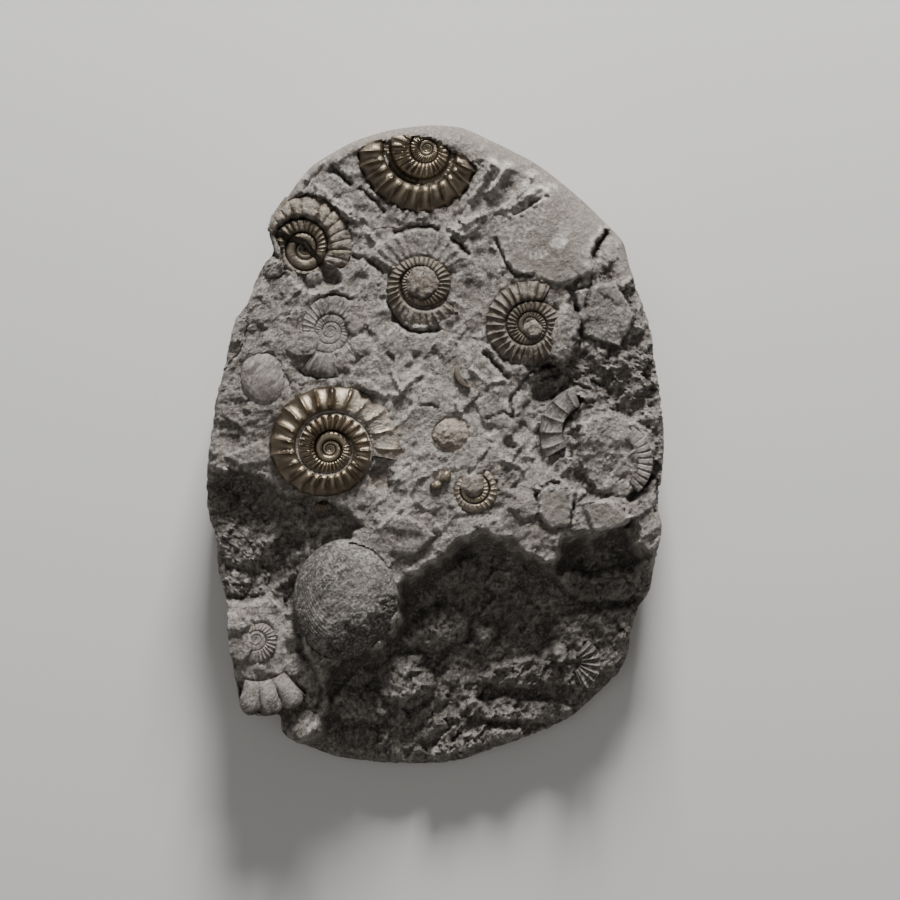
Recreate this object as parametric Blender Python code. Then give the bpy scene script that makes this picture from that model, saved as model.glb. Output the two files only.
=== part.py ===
"""Ammonite cluster plate: a rounded slab of grey mudstone lying on its sawn back.

Pyrite and grey ammonites, bivalves and broken whorls stand in its upper face.
Every fossil is a solid of its own that sits in a socket of the rock.
Sizes below are millimetres: X to the right, Y towards the rounded head, Z up from the back.
"""

import math

import bmesh
import bpy
import numpy as np
from mathutils import Vector, noise

MM = 0.001
PLATE_HALF_WIDTH = 92.5
PLATE_HALF_LENGTH = 129.5
FACE_LEVEL = 44.0
SOCKET_GAP = 0.35
SOCKET_TOP = 80.0
QUARTER = math.pi / 2

# Outline of the plate seen from above, clockwise from the head
OUTLINE = [
    (-2, 129.3), (11, 128.3), (23, 123), (40, 114.5), (51, 106.5), (60.5, 98.5), (68.5, 90.5),
    (76, 82.5), (78.5, 73), (83.5, 58.5), (87, 48), (89, 34), (91.5, 18), (92.5, 5), (92, -10),
    (90, -23), (91.5, -33), (89, -47), (87, -59), (82, -67.5), (79.5, -78), (77, -89), (70, -97),
    (56, -110), (42, -117), (26, -122.5), (8, -128.5), (-16, -129.5), (-38, -127), (-54, -121.5),
    (-62, -116), (-63, -109.5), (-71, -109.5), (-78.5, -107), (-80.5, -97), (-82, -88),
    (-83.5, -77),
    (-84.5, -63), (-88, -51), (-89, -37), (-92, -27), (-92.5, -13), (-90.5, 3), (-88.5, 18),
    (-84.5, 34), (-81, 50), (-75.5, 58), (-73, 65), (-69.5, 72.5), (-65, 78.5), (-66.8, 85.5),
    (-65, 92.5), (-60.5, 98.5), (-55, 106.5), (-48.5, 113.5), (-33, 122.5), (-18, 127.3),
]

# How far the worn rim rolls inwards and down, by direction from the middle of the plate
RIM_ROLL = [
    (-180, 3, 5), (-120, 5, 8), (-90, 8, 9), (-45, 8, 9), (0, 5, 6), (35, 6, 8), (46, 12, 14),
    (53, 24, 18), (60, 25, 19), (71, 15, 16), (91, 8, 12), (110, 4, 8), (127, 3, 6), (180, 3, 5),
]

# Beds of the broken face: outline, rise above the face level, width of the broken edge
BEDS = {
    "lower_left": ([
        (-105, -10), (-92, -9), (-80, -9.5), (-69, -12), (-64, -17.5), (-58, -20.5), (-42, -21.5),
        (-36, -26.5), (-30, -32), (-36, -38), (-50, -45.5), (-54, -77.5), (-45, -97.5),
        (-47, -107.5), (-58, -122), (-64, -140), (-105, -130),
    ], -9.0, 4.0),
    "foot": ([
        (-14, -57.5), (-4, -50.5), (6, -45.5), (10.5, -39), (18, -37), (26, -38.5), (31, -43),
        (42, -46.5), (49, -52), (51, -41), (56, -37), (63, -39), (71, -34), (78, -30.5),
        (80, -39.5), (84, -46.5), (98, -47.5), (102, -142), (-66, -142), (-58, -121),
        (-46, -116), (-45, -97.5), (-42, -87.5), (-34, -82.5), (-22, -83.5), (-15, -71.5),
    ], -21.0, 6.0),
    "foot_shelf": ([
        (50, -53), (55, -49.5), (62, -52.5), (76, -50.5), (87, -45.5), (96, -50), (92, -61.5),
        (78, -61), (66, -63), (52, -58.5),
    ], 9.0, 4.0),
    "foot_bench": ([
        (50, -70), (66, -66.5), (82, -63.5), (95, -75), (84, -97.5), (66, -100.5), (56, -97.5),
        (26, -97.5), (18, -93.5), (26, -87.5), (44, -84),
    ], 6.0, 5.0),
    "foot_rib": ([
        (12, -104), (26, -101.5), (50, -103.5), (57, -108), (42, -112), (14, -110.5),
    ], 4.0, 3.0),
    "foot_lip": ([
        (3, -120), (16, -115.5), (34, -113.5), (38, -118), (18, -121.5), (6, -126),
    ], 4.5, 3.0),
    "head_skin": ([
        (25, 85.5), (24.5, 79), (27, 73.5), (32, 68.5), (40, 67.5), (50, 64.5), (60, 69),
        (63, 73.5), (64, 80.5), (68, 86.5), (90, 95), (60, 125), (26, 135), (16, 114.5),
        (34, 108.5), (46, 104.5), (42, 96.5), (32, 89.5),
    ], 2.2, 1.6),
    "right_rubble": ([
        (69, 86), (65, 81), (63.5, 73), (62, 66), (54, 63), (52, 52), (40, 32), (36, 22),
        (34, 8), (42, -8), (60, -20), (100, -20), (100, 86),
    ], -2.6, 3.0),
    "edge_platform": ([
        (58, 10), (70, 14), (84, 8), (88, -2), (87, -10), (79, -20), (64, -18), (58, -8),
    ], 2.4, 2.0),
    "block_low": ([
        (41, -17.5), (50, -16), (56, -18), (54.5, -31), (46, -31.5), (43, -26),
    ], 2.6, 1.4),
    "block_high": ([
        (58, -23), (68, -20.5), (77, -24), (79, -29.5), (68, -33), (56, -33.5),
    ], 3.4, 1.4),
    "left_shoulder": ([
        (-95, 60), (-74, 64), (-60, 60), (-56, 40), (-60, 22), (-72, 10), (-95, 8),
    ], 1.4, 6.0),
}

# Rounded swells and hollows: x, y, half sizes, turn in degrees, rise
SWELLS = [
    (-10, 0, 60, 70, 0, 2.5), (-36, -61.5, 23, 26, 15, 4.0), (-14, -45, 18, 14, 20, -2.0),
    (1, -74.5, 14, 9, 20, 11.0), (-12, -95, 12, 12, 0, 10.0), (-31, -105.5, 13, 8, -10, 10.0),
    (-53, -113, 11, 7, 20, 5.0), (13, -49, 4.5, 5, 0, 8.0), (20, -75.5, 6, 5, 0, 6.0),
    (2, -125.5, 6, 5, 0, 6.0), (60, 45, 14, 18, -30, 2.6), (72, 30, 14, 12, 0, 2.2),
    (42, 33.5, 6.5, 3.2, 20, -5.0), (44, 21.5, 6, 4, 0, -6.0), (56, 53.5, 4, 3, 0, -4.5),
    (30, 0.8, 3.2, 2.2, -20, -3.0), (-22.4, -12.8, 4.4, 4.6, 0, -3.0), (36, -25, 7, 6, 0, 2.0),
    (-80, -17, 12, 6, 5, -3.0), (-76, -42, 12, 9, 0, 3.0), (-62, -34, 9, 8, 0, 2.5),
    (-12, -36, 9, 3, -20, -3.5), (34, 104, 14, 6, 45, -1.6), (-48, 68, 9, 7, 0, -4.0),
    (68, 62, 12, 20, 10, 2.0), (50, -8, 8, 14, 0, -1.5), (86, 18, 8, 7, 40, -3.0),
]

# Long ridges and slots of split rock: points, half width, rise
RIDGES = [
    ([(15, 99), (23, 113)], 2.2, 2.0), ([(21.5, 101), (29, 111.5)], 1.8, 1.6),
    ([(6.5, 85.5), (15.5, 91), (27.5, 95.5), (35.5, 103), (39, 108)], 2.2, 1.8),
    ([(27.5, 94), (42.5, 103.5), (45, 102.5)], 1.6, 1.4),
    ([(32.5, 92.5), (37, 95.5), (44, 100)], 1.6, -2.6),
    ([(-41, 111), (-34.5, 105)], 1.8, -2.4),
    ([(-47.5, 102.5), (-37.5, 94.5), (-27.5, 91), (-21, 86)], 1.8, 1.4),
    ([(69, 85), (65, 81), (63.5, 73.5), (63, 64.5)], 1.8, -3.0),
    ([(24.5, 83), (25.5, 77.5), (28, 73.5), (32, 69), (39, 68)], 1.8, -2.4),
    ([(79, -20), (86, -12)], 2.4, -2.6), ([(8, 82.5), (10.5, 81), (12.5, 78)], 2.2, -2.6),
]

# Coiled ammonites. The radii are those of the outer edge at each quarter turn from the middle
COILS = {
    "ammonite_large": dict(
        at=(-42.0, -1.2), seat=44.5, base=31.0, start=90, hand=-1, end=13.1, steps=42, swell=0.44,
        radii=[3.6, 4.6, 5.2, 6.0, 7.4, 8.6, 9.6, 12.6, 14.4, 17.0, 18.8, 24.0, 25.2, 29.2, 31.0]),
    "ammonite_top": dict(
        at=(-3.2, 119.2), seat=40.5, base=30.0, start=180, hand=-1, end=12.1, steps=44, swell=0.36,
        radii=[3.2, 3.7, 4.4, 5.8, 6.8, 7.6, 8.8, 12.0, 14.0, 17.0, 20.4, 25.6, 28.4, 29.0],
        keep=[(-33, 90), (-33, 116), (-29, 120.5), (-17, 124.3), (-2, 124.3), (6, 119.5),
              (17, 112.5), (19, 90)]),
    "ammonite_left": dict(
        at=(-52.4, 78.8), seat=40.0, base=30.0, start=-90, hand=1, end=10.7, steps=40, swell=0.4,
        radii=[4.0, 4.8, 6.8, 7.6, 8.4, 9.2, 12.4, 13.6, 15.2, 19.2, 22.8, 25.6],
        keep=[(-59.5, 98.5), (-64.5, 91.5), (-66, 86), (-62.5, 79), (-61, 70), (-52, 69),
              (-42, 71), (-33, 71), (-25, 92), (-40, 106)]),
    "ammonite_centre": dict(
        at=(-6.0, 65.4), seat=43.5, base=34.0, start=0, hand=1, end=11.6, steps=36, swell=0.36,
        radii=[3.6, 4.0, 4.8, 6.0, 6.8, 6.8, 7.4, 9.6, 12.4, 10.6, 13.0, 18.8, 20.8]),
    "ammonite_right": dict(
        at=(38.0, 48.4), seat=43.0, base=34.0, start=90, hand=-1, end=12.3, steps=36, swell=0.34,
        radii=[3.2, 3.6, 4.2, 4.8, 5.6, 6.8, 8.0, 9.6, 9.8, 13.0, 16.4, 17.6, 18.0, 18.4]),
    "ammonite_grey": dict(
        at=(-42.0, 46.0), seat=43.2, base=36.0, start=90, hand=-1, end=10.4, steps=32, swell=0.2,
        radii=[3.6, 4.4, 5.2, 6.0, 6.8, 7.4, 8.6, 10.8, 14.0, 15.6, 18.4, 19.5]),
    "ammonite_small": dict(
        at=(15.2, -17.2), seat=44.0, base=37.0, start=0, hand=1, end=8.6, steps=32, swell=0.36,
        radii=[4.0, 4.2, 5.0, 5.6, 6.4, 6.4, 7.6, 9.6, 9.8, 9.0]),
    "ammonite_corner": dict(
        at=(-72.0, -77.6), seat=35.0, base=26.0, start=0, hand=-1, end=5.6, steps=32, swell=0.26,
        radii=[4.0, 4.6, 5.4, 6.6, 8.2, 9.6, 10.4],
        keep=[(-81.5, -65), (-60, -65), (-58, -92), (-79, -92)]),
}

# Broken stretches of whorl: from and to in degrees, inner and outer radius at both ends
WHORL_ARCS = {
    "whorl_corner": dict(
        at=(-72.0, -77.6), seat=33.0, base=25.0, sweep=(-103, -50), inner=(16.8, 17.4),
        outer=(29.6, 30.8), ribs=3, swell=0.36),
    "whorl_edge": dict(
        at=(71.0, -5.6), seat=42.0, base=34.0, sweep=(58, -52), inner=(9.5, 11.0),
        outer=(15.6, 16.6), ribs=9, swell=0.3),
    "whorl_fragment": dict(
        at=(74.0, -1.6), seat=41.0, base=34.0, sweep=(141, 184), inner=(21.5, 23.0),
        outer=(31.5, 34.0), ribs=5, swell=0.2),
    "whorl_foot": dict(
        at=(55.0, -87.0), seat=29.0, base=22.0, sweep=(52, -68), inner=(3.0, 4.0),
        outer=(11.0, 12.5), ribs=7, swell=0.3),
    "whorl_sliver": dict(
        at=(16.0, 28.6), seat=44.8, base=39.0, sweep=(176, 246), inner=(6.6, 6.2),
        outer=(9.0, 8.6), ribs=6, swell=0.7),
    "whorl_shaded": dict(
        at=(-45.0, -20.0), seat=36.0, base=30.0, sweep=(-122, -52), inner=(3.0, 3.0),
        outer=(6.6, 6.4), ribs=5, swell=0.5),
}

# Smooth shells: middle, half sizes, turn, seat, base and rise of the dome
SHELLS = {
    "bivalve_large": dict(
        at=(-36.0, -61.5), half=(21.0, 24.5), turn=-14, seat=36.0, base=24.0, rise=15.0,
        around=26),
    "bivalve_left": dict(
        at=(-69.0, 26.6), half=(8.6, 10.8), turn=8, seat=43.6, base=38.0, rise=4.0,
        around=14),
    "bivalve_middle": dict(
        at=(6.4, 4.4), half=(5.6, 5.0), turn=30, seat=44.6, base=39.0, rise=3.0,
        around=12),
    "pyrite_bead_upper": dict(
        at=(4.2, -12.2), half=(2.2, 1.8), turn=20, seat=44.8, base=41.0, rise=2.0,
        around=8),
    "pyrite_bead_lower": dict(
        at=(0.4, -15.6), half=(2.2, 1.9), turn=-20, seat=44.8, base=41.0, rise=2.0,
        around=8),
}

COLOURS = {
    "stone": (0.26, 0.25, 0.24, 0.85, 0.0),
    "pyrite": (0.30, 0.24, 0.17, 0.35, 1.0),
    "dark_pyrite": (0.17, 0.14, 0.12, 0.45, 0.6),
    "shell": (0.22, 0.215, 0.21, 0.6, 0.0),
}
FINISH = {
    "ammonite_large": "pyrite", "ammonite_top": "pyrite", "ammonite_left": "pyrite",
    "ammonite_small": "pyrite", "whorl_sliver": "pyrite", "whorl_shaded": "pyrite",
    "pyrite_bead_upper": "pyrite", "pyrite_bead_lower": "pyrite",
    "ammonite_centre": "dark_pyrite", "ammonite_right": "dark_pyrite",
}


def clear_scene():
    for item in list(bpy.data.objects):
        bpy.data.objects.remove(item)


def smooth_step(value):
    value = np.clip(value, 0.0, 1.0)
    return value * value * (3.0 - 2.0 * value)


# Distances on the face


def distance_to_line(x, y, points, closed=False):
    """Shortest distance from each place to a line of points."""
    ends = points[1:] + points[:1] if closed else points[1:]
    best = np.full(x.shape, 1e9)
    for (ax, ay), (bx, by) in zip(points, ends):
        dx, dy = bx - ax, by - ay
        share = np.clip(((x - ax) * dx + (y - ay) * dy) / (dx * dx + dy * dy), 0.0, 1.0)
        best = np.minimum(best, np.hypot(x - ax - share * dx, y - ay - share * dy))
    return best


def inside(x, y, points):
    """True where a place lies in a closed line of points."""
    found = np.zeros(x.shape, bool)
    for (ax, ay), (bx, by) in zip(points, points[1:] + points[:1]):
        if ay == by:
            continue
        crosses = (ay > y) != (by > y)
        found ^= crosses & (x < (bx - ax) * (y - ay) / (by - ay) + ax)
    return found


def depth_in(x, y, points):
    """Distance to a closed line, positive inside it."""
    gap = distance_to_line(x, y, points, closed=True)
    return np.where(inside(x, y, points), gap, -gap)


def smooth_outline(points, each):
    """A closed line through the points with a few more places between each two."""
    made = []
    count = len(points)
    for i in range(count):
        p0, p1, p2, p3 = (Vector(points[(i + k) % count]) for k in (-1, 0, 1, 2))
        for k in range(each):
            t = k / each
            made.append(tuple(0.5 * (
                2 * p1 + (p2 - p0) * t + (2 * p0 - 5 * p1 + 4 * p2 - p3) * t * t
                + (3 * p1 - p0 - 3 * p2 + p3) * t ** 3)))
    return made


# Relief of the rock


def wavy(x, y, size, seed, octaves=3):
    """Smooth noise between about -1 and 1 with lumps of the given size."""
    values = [noise.fractal(Vector((a / size, b / size, seed)), 0.8, 2.0, octaves)
              for a, b in zip(x.ravel(), y.ravel())]
    return np.array(values).reshape(x.shape)


def chips(x, y, size, seed):
    """Flat tilted chips of the given size, as split mudstone has."""
    values = []
    for a, b in zip(x.ravel(), y.ravel()):
        place = Vector((a / size, b / size, seed))
        cell = noise.voronoi(place)[1][0]
        tilt = noise.cell_vector(cell * 7.3)
        away = place - cell
        values.append((tilt.x - 0.5) * away.x * 2 + (tilt.y - 0.5) * away.y * 2 + tilt.z - 0.5)
    return np.array(values).reshape(x.shape)


def rock_height(x, y):
    """Height of the broken face above the sawn back."""
    bent_x = x + 1.6 * wavy(x, y, 11.0, 3.1)
    bent_y = y + 1.6 * wavy(x, y, 11.0, 9.7)
    height = np.full(x.shape, FACE_LEVEL)
    height -= 5.0 * np.clip((-y - 40.0) / 90.0, 0.0, 1.0)
    for points, rise, edge in BEDS.values():
        height += rise * smooth_step(0.5 + depth_in(bent_x, bent_y, points) / edge)
    for at_x, at_y, half_x, half_y, turn, rise in SWELLS:
        c, s = math.cos(math.radians(turn)), math.sin(math.radians(turn))
        along = ((bent_x - at_x) * c + (bent_y - at_y) * s) / half_x
        across = ((bent_y - at_y) * c - (bent_x - at_x) * s) / half_y
        height += rise * np.clip(1.0 - along ** 2 - across ** 2, 0.0, 1.0) ** 0.8
    for points, half_width, rise in RIDGES:
        gap = distance_to_line(bent_x, bent_y, points)
        height += rise * np.clip(1.0 - gap / half_width, 0.0, 1.0)
    rough = 0.35 + 0.65 * smooth_step(0.5 - depth_in(x, y, BEDS["head_skin"][0]) / 8.0)
    height += rough * (1.3 * chips(bent_x, bent_y, 11.0, 0.4) + 0.8 * wavy(x, y, 8.0, 5.5))
    direction = np.degrees(np.arctan2(y, x))
    table = np.array(RIM_ROLL, float)
    reach = np.interp(direction, table[:, 0], table[:, 1])
    fall = np.interp(direction, table[:, 0], table[:, 2])
    inward = np.clip(depth_in(x, y, OUTLINE) / reach, 0.0, 1.0)
    return height - fall * (1.0 - np.sqrt(1.0 - (1.0 - inward) ** 2))


# Solids from a top surface


def closed_solid(name, points, faces, base):
    """A solid under a top surface: its edge drops straight to a flat base."""
    shape = bmesh.new()
    corners = [shape.verts.new(Vector(p) * MM) for p in points]
    for face in faces:
        shape.faces.new([corners[i] for i in face])
    rim = [edge for edge in shape.edges if edge.is_boundary]
    dropped = bmesh.ops.extrude_edge_only(shape, edges=rim)["geom"]
    foot = [item for item in dropped if isinstance(item, bmesh.types.BMVert)]
    for corner in foot:
        corner.co.z = base * MM
    foot_edges = [item for item in dropped
                  if isinstance(item, bmesh.types.BMEdge) and item.is_boundary]
    bmesh.ops.holes_fill(shape, edges=foot_edges, sides=0)
    bmesh.ops.recalc_face_normals(shape, faces=shape.faces)
    return add_object(name, shape)


def add_object(name, shape):
    mesh = bpy.data.meshes.new(name)
    shape.to_mesh(mesh)
    shape.free()
    made = bpy.data.objects.new(name, mesh)
    bpy.context.scene.collection.objects.link(made)
    return made


def paint(made, finish):
    """Gives an object its own plain material."""
    red, green, blue, roughness, metallic = COLOURS[finish]
    material = bpy.data.materials.new(made.name + "_" + finish)
    material.use_nodes = True
    shader = material.node_tree.nodes["Principled BSDF"]
    shader.inputs["Base Color"].default_value = (red, green, blue, 1.0)
    shader.inputs["Roughness"].default_value = roughness
    shader.inputs["Metallic"].default_value = metallic
    made.data.materials.clear()
    made.data.materials.append(material)


def prism(name, points, low, high):
    """An upright prism over a closed line of points, used to cut or to trim."""
    shape = bmesh.new()
    floor = [shape.verts.new((x * MM, y * MM, low * MM)) for x, y in points]
    face = shape.faces.new(floor)
    raised = bmesh.ops.extrude_face_region(shape, geom=[face])["geom"]
    for item in raised:
        if isinstance(item, bmesh.types.BMVert):
            item.co.z = high * MM
    bmesh.ops.recalc_face_normals(shape, faces=shape.faces)
    made = add_object(name, shape)
    made.hide_render = True
    made.display_type = "WIRE"
    return made


def combine(made, other, operation):
    cut = made.modifiers.new(operation.lower() + "_" + other.name, "BOOLEAN")
    cut.operation = operation
    cut.object = other
    cut.solver = "EXACT"


def grown(points, gap):
    """A closed line of points moved outwards by a gap."""
    count = len(points)
    area = sum(points[i][0] * points[(i + 1) % count][1] - points[(i + 1) % count][0] * points[i][1]
               for i in range(count))
    side = 1.0 if area > 0 else -1.0
    made = []
    for i in range(count):
        before, here, after = (Vector(points[(i + k) % count]) for k in (-1, 0, 1))
        first = (here - before).normalized()
        second = (after - here).normalized()
        out = Vector((first.y + second.y, -first.x - second.x)) * side
        if out.length < 1e-6:
            continue
        out.normalize()
        slant = max(0.5, abs(out.dot(Vector((first.y, -first.x)))))
        made.append(tuple(here + out * gap / slant))
    return made


# Coiled shells


def coil_radius(coil, quarter):
    """Outer radius of a coil after so many quarter turns."""
    radii = coil["radii"]
    if quarter <= 0:
        return radii[0] * 1.9 ** (quarter / 4)
    i = min(int(quarter), len(radii) - 2)
    t = quarter - i
    p1, p2 = radii[i], radii[i + 1]
    p0 = radii[i - 1] if i else p1 * 0.85
    p3 = radii[i + 2] if i + 2 < len(radii) else p2 * 2 - p1
    return 0.5 * (2 * p1 + (p2 - p0) * t + (2 * p0 - 5 * p1 + 4 * p2 - p3) * t * t
                  + (3 * p1 - p0 - 3 * p2 + p3) * t ** 3)


def coil_place(coil, quarter, radius):
    angle = math.radians(coil["start"]) + coil["hand"] * quarter * QUARTER
    return (coil["at"][0] + radius * math.cos(angle), coil["at"][1] + radius * math.sin(angle))


def make_coil(name, coil):
    """A ribbed coil: a strip of whorl wound so that each turn meets the one before it."""
    steps = coil["steps"]
    across = 3 if steps >= 40 else 2
    rib_shape = (0.3, 0.7, 1.0, 0.7) if steps >= 40 else (0.3, 1.0, 0.7)
    last = round(coil["end"] * steps / 4)
    points, faces, index = [], [], {}

    def corner(i, j):
        if j == 0 and i >= 2 * steps:
            return corner(i - steps, across)
        if (i, j) not in index:
            quarter = 4 * i / steps
            outer = coil_radius(coil, quarter)
            inner = coil_radius(coil, quarter - 4)
            thick = coil["swell"] * (outer - inner)
            share = j / across
            arch = 0.35 + 0.65 * math.sin(math.pi * share) ** 0.6
            rib = 0.28 * (i % 2 == 0) * rib_shape[j]
            height = coil["seat"] + thick * (arch + rib)
            index[i, j] = len(points)
            points.append((*coil_place(coil, quarter, inner + (outer - inner) * share), height))
        return index[i, j]

    for i in range(steps, last):
        for j in range(across):
            faces.append((corner(i, j), corner(i + 1, j), corner(i + 1, j + 1), corner(i, j + 1)))
    hub = [corner(i, 0) for i in range(steps, 2 * steps + 1)]
    hub += [corner(steps, j) for j in range(across - 1, 0, -1)]
    hub_height = sum(points[i][2] for i in hub) / len(hub)
    points.append((*coil["at"], hub_height + 0.3))
    for a, b in zip(hub, hub[1:] + hub[:1]):
        faces.append((a, b, len(points) - 1))
    rim = [corner(i, across) for i in range(last - steps, last + 1)]
    rim += [corner(last, j) for j in range(across - 1, 0, -1)]
    made = closed_solid(name, points, faces, coil["base"])
    return made, [points[i][:2] for i in rim]


def make_arc(name, arc):
    """A broken stretch of one whorl with its ribs."""
    across = 2
    steps = arc["ribs"] * 2
    begin, finish = (math.radians(a) for a in arc["sweep"])
    points, faces = [], []
    for i in range(steps + 1):
        share = i / steps
        angle = begin + (finish - begin) * share
        inner = arc["inner"][0] + (arc["inner"][1] - arc["inner"][0]) * share
        outer = arc["outer"][0] + (arc["outer"][1] - arc["outer"][0]) * share
        thick = arc["swell"] * (outer - inner)
        for j in range(across + 1):
            radius = inner + (outer - inner) * j / across
            arch = 0.3 + 0.7 * math.sin(math.pi * j / across) ** 0.6
            rib = 0.35 * (i % 2) * (0.4, 1.0, 0.8)[j]
            points.append((arc["at"][0] + radius * math.cos(angle),
                           arc["at"][1] + radius * math.sin(angle),
                           arc["seat"] + thick * (arch + rib)))
    row = across + 1
    for i in range(steps):
        for j in range(across):
            k = i * row + j
            faces.append((k, k + row, k + row + 1, k + 1))
    rim = [i * row + across for i in range(steps + 1)]
    rim += [steps * row + j for j in range(across - 1, -1, -1)]
    rim += [i * row for i in range(steps - 1, -1, -1)]
    rim += list(range(1, across))
    return closed_solid(name, points, faces, arc["base"]), [points[i][:2] for i in rim]


def make_shell(name, shell):
    """A smooth domed shell on an oval foot."""
    around = shell["around"]
    rings = 6 if around > 20 else 2
    c, s = (f(math.radians(shell["turn"])) for f in (math.cos, math.sin))
    points = [(*shell["at"], shell["seat"] + shell["rise"])]
    faces = []
    for ring in range(1, rings + 1):
        reach = math.sin(QUARTER * ring / rings)
        height = shell["seat"] + shell["rise"] * math.cos(QUARTER * ring / rings) ** 0.9
        for k in range(around):
            angle = 2 * math.pi * k / around
            u = shell["half"][0] * reach * math.cos(angle) * (1 + 0.06 * math.sin(angle))
            v = shell["half"][1] * reach * math.sin(angle)
            points.append((shell["at"][0] + u * c - v * s, shell["at"][1] + u * s + v * c, height))
    for k in range(around):
        after = (k + 1) % around
        faces.append((0, 1 + k, 1 + after))
        for ring in range(1, rings):
            low, high = 1 + (ring - 1) * around, 1 + ring * around
            faces.append((low + k, high + k, high + after, low + after))
    rim = range(1 + (rings - 1) * around, 1 + rings * around)
    return closed_solid(name, points, faces, shell["base"]), [points[i][:2] for i in rim]


# The rock plate


def plate_grid(columns, rows):
    """Places spread evenly over the plate's outline."""
    edge = np.array(smooth_outline(OUTLINE, 4))
    edge_angle = np.arctan2(edge[:, 1], edge[:, 0])
    order = np.argsort(edge_angle)
    edge_angle, edge_reach = edge_angle[order], np.hypot(edge[:, 0], edge[:, 1])[order]
    u, v = np.meshgrid(np.linspace(-1, 1, columns), np.linspace(-1, 1, rows))
    disc_x = u * np.sqrt(1 - v * v / 2)
    disc_y = v * np.sqrt(1 - u * u / 2)
    x, y = disc_x * PLATE_HALF_WIDTH, disc_y * PLATE_HALF_LENGTH
    angle = np.arctan2(y, x)
    oval = 1 / np.hypot(np.cos(angle) / PLATE_HALF_WIDTH, np.sin(angle) / PLATE_HALF_LENGTH)
    reach = np.interp(angle, edge_angle, edge_reach, period=2 * math.pi)
    stretch = 1 + (reach / oval - 1) * np.hypot(disc_x, disc_y) ** 3
    return x * stretch, y * stretch


def make_rock(columns=92, rows=128, wall_rings=6):
    """The slab: a broken face, a rough side that tucks in below, and a sawn back."""
    x, y = plate_grid(columns, rows)
    height = rock_height(x, y)
    points = list(zip(x.ravel(), y.ravel(), height.ravel()))
    faces = []
    for r in range(rows - 1):
        for c in range(columns - 1):
            k = r * columns + c
            faces.append((k, k + 1, k + columns + 1, k + columns))
    rim = [c for c in range(columns - 1)]
    rim += [r * columns + columns - 1 for r in range(rows - 1)]
    rim += [rows * columns - 1 - c for c in range(columns - 1)]
    rim += [(rows - 1 - r) * columns for r in range(rows - 1)]
    above = rim
    for ring in range(1, wall_rings + 1):
        share = ring / wall_rings
        tuck = 0.075 * share ** 2.2
        below = []
        for k in rim:
            px, py, top = points[k]
            rough = 1 + 0.012 * noise.fractal(Vector((px / 14, py / 14, ring * 0.9)), 0.8, 2.0, 3)
            reach = (1 - tuck) * rough
            below.append(len(points))
            points.append((px * reach, py * reach, top + (-2.0 - top) * share))
        count = len(rim)
        for i in range(count):
            after = (i + 1) % count
            faces.append((above[i], below[i], below[after], above[after]))
        above = below
    faces.append(tuple(reversed(above)))
    shape = bmesh.new()
    corners = [shape.verts.new(Vector(p) * MM) for p in points]
    for face in faces:
        shape.faces.new([corners[i] for i in face])
    bmesh.ops.recalc_face_normals(shape, faces=shape.faces)
    rock = add_object("matrix", shape)
    coarse = rock.modifiers.new("coarse_facets", "DECIMATE")
    coarse.ratio = 0.079
    saw = prism("saw_cut", [(-150, -150), (150, -150), (150, 150), (-150, 150)], -30.0, 0.0)
    combine(rock, saw, "DIFFERENCE")
    return rock


def main():
    clear_scene()
    rock = make_rock()
    paint(rock, "stone")
    makers = ((COILS, make_coil), (WHORL_ARCS, make_arc), (SHELLS, make_shell))
    for table, maker in makers:
        for name, facts in table.items():
            fossil, rim = maker(name, facts)
            paint(fossil, FINISH.get(name, "shell"))
            foot = facts["base"] - SOCKET_GAP
            socket = prism("socket_" + name, grown(rim, SOCKET_GAP), foot, SOCKET_TOP)
            if "keep" in facts:
                keep = prism("keep_" + name, facts["keep"], facts["base"] - 5, SOCKET_TOP - 5)
                combine(fossil, keep, "INTERSECT")
                wide = prism("room_" + name, grown(facts["keep"], SOCKET_GAP),
                             foot - 5, SOCKET_TOP + 5)
                combine(socket, wide, "INTERSECT")
            combine(rock, socket, "DIFFERENCE")


main()
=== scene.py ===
"""Ammonite cluster plate: the visual model of a split mudstone slab with pyrite ammonites.

Lengths in the tables are millimetres in the frame of the solids: X right, Y towards the
rounded head, Z up out of the fossil face.
"""

import math
from types import SimpleNamespace

import bmesh
import bpy
import numpy as np
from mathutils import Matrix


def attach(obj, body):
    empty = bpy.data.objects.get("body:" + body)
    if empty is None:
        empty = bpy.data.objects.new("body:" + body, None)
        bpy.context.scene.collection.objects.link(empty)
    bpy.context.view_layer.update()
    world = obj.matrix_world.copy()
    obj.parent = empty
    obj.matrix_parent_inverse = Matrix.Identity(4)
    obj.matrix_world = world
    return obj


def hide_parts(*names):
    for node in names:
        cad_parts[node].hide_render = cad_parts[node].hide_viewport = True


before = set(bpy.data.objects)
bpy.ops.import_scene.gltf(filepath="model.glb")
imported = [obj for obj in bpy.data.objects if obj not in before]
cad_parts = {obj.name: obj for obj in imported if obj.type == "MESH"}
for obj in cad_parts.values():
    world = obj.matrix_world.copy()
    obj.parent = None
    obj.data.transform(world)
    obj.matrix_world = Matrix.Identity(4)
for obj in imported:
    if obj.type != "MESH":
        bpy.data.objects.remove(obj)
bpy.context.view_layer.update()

bl_info = {
    "name": "Ammonite Cluster Plate",
    "version": (1, 0, 0),
    "blender": (4, 5, 0),
    "location": "View3D > Sidebar > Fossil Plate",
    "description": "Builds a split mudstone slab with ammonites, shells and broken whorls",
    "category": "Add Mesh",
}

MM = 0.001
QUARTER = math.pi / 2
HALF_WIDTH = 92.0
HALF_LENGTH = 129.3
FACE_LEVEL = 44.0
FOOT_SLOPE = 5.0
EDGE_RADIUS = 105.0

# Side of the slab: share by which it tucks in towards the back, the bevel at its foot, and the
# share that a full dent takes off
SIDE_TUCK = 0.07
FOOT_BEVEL = 0.012
DENT_SHARE = 0.018

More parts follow.
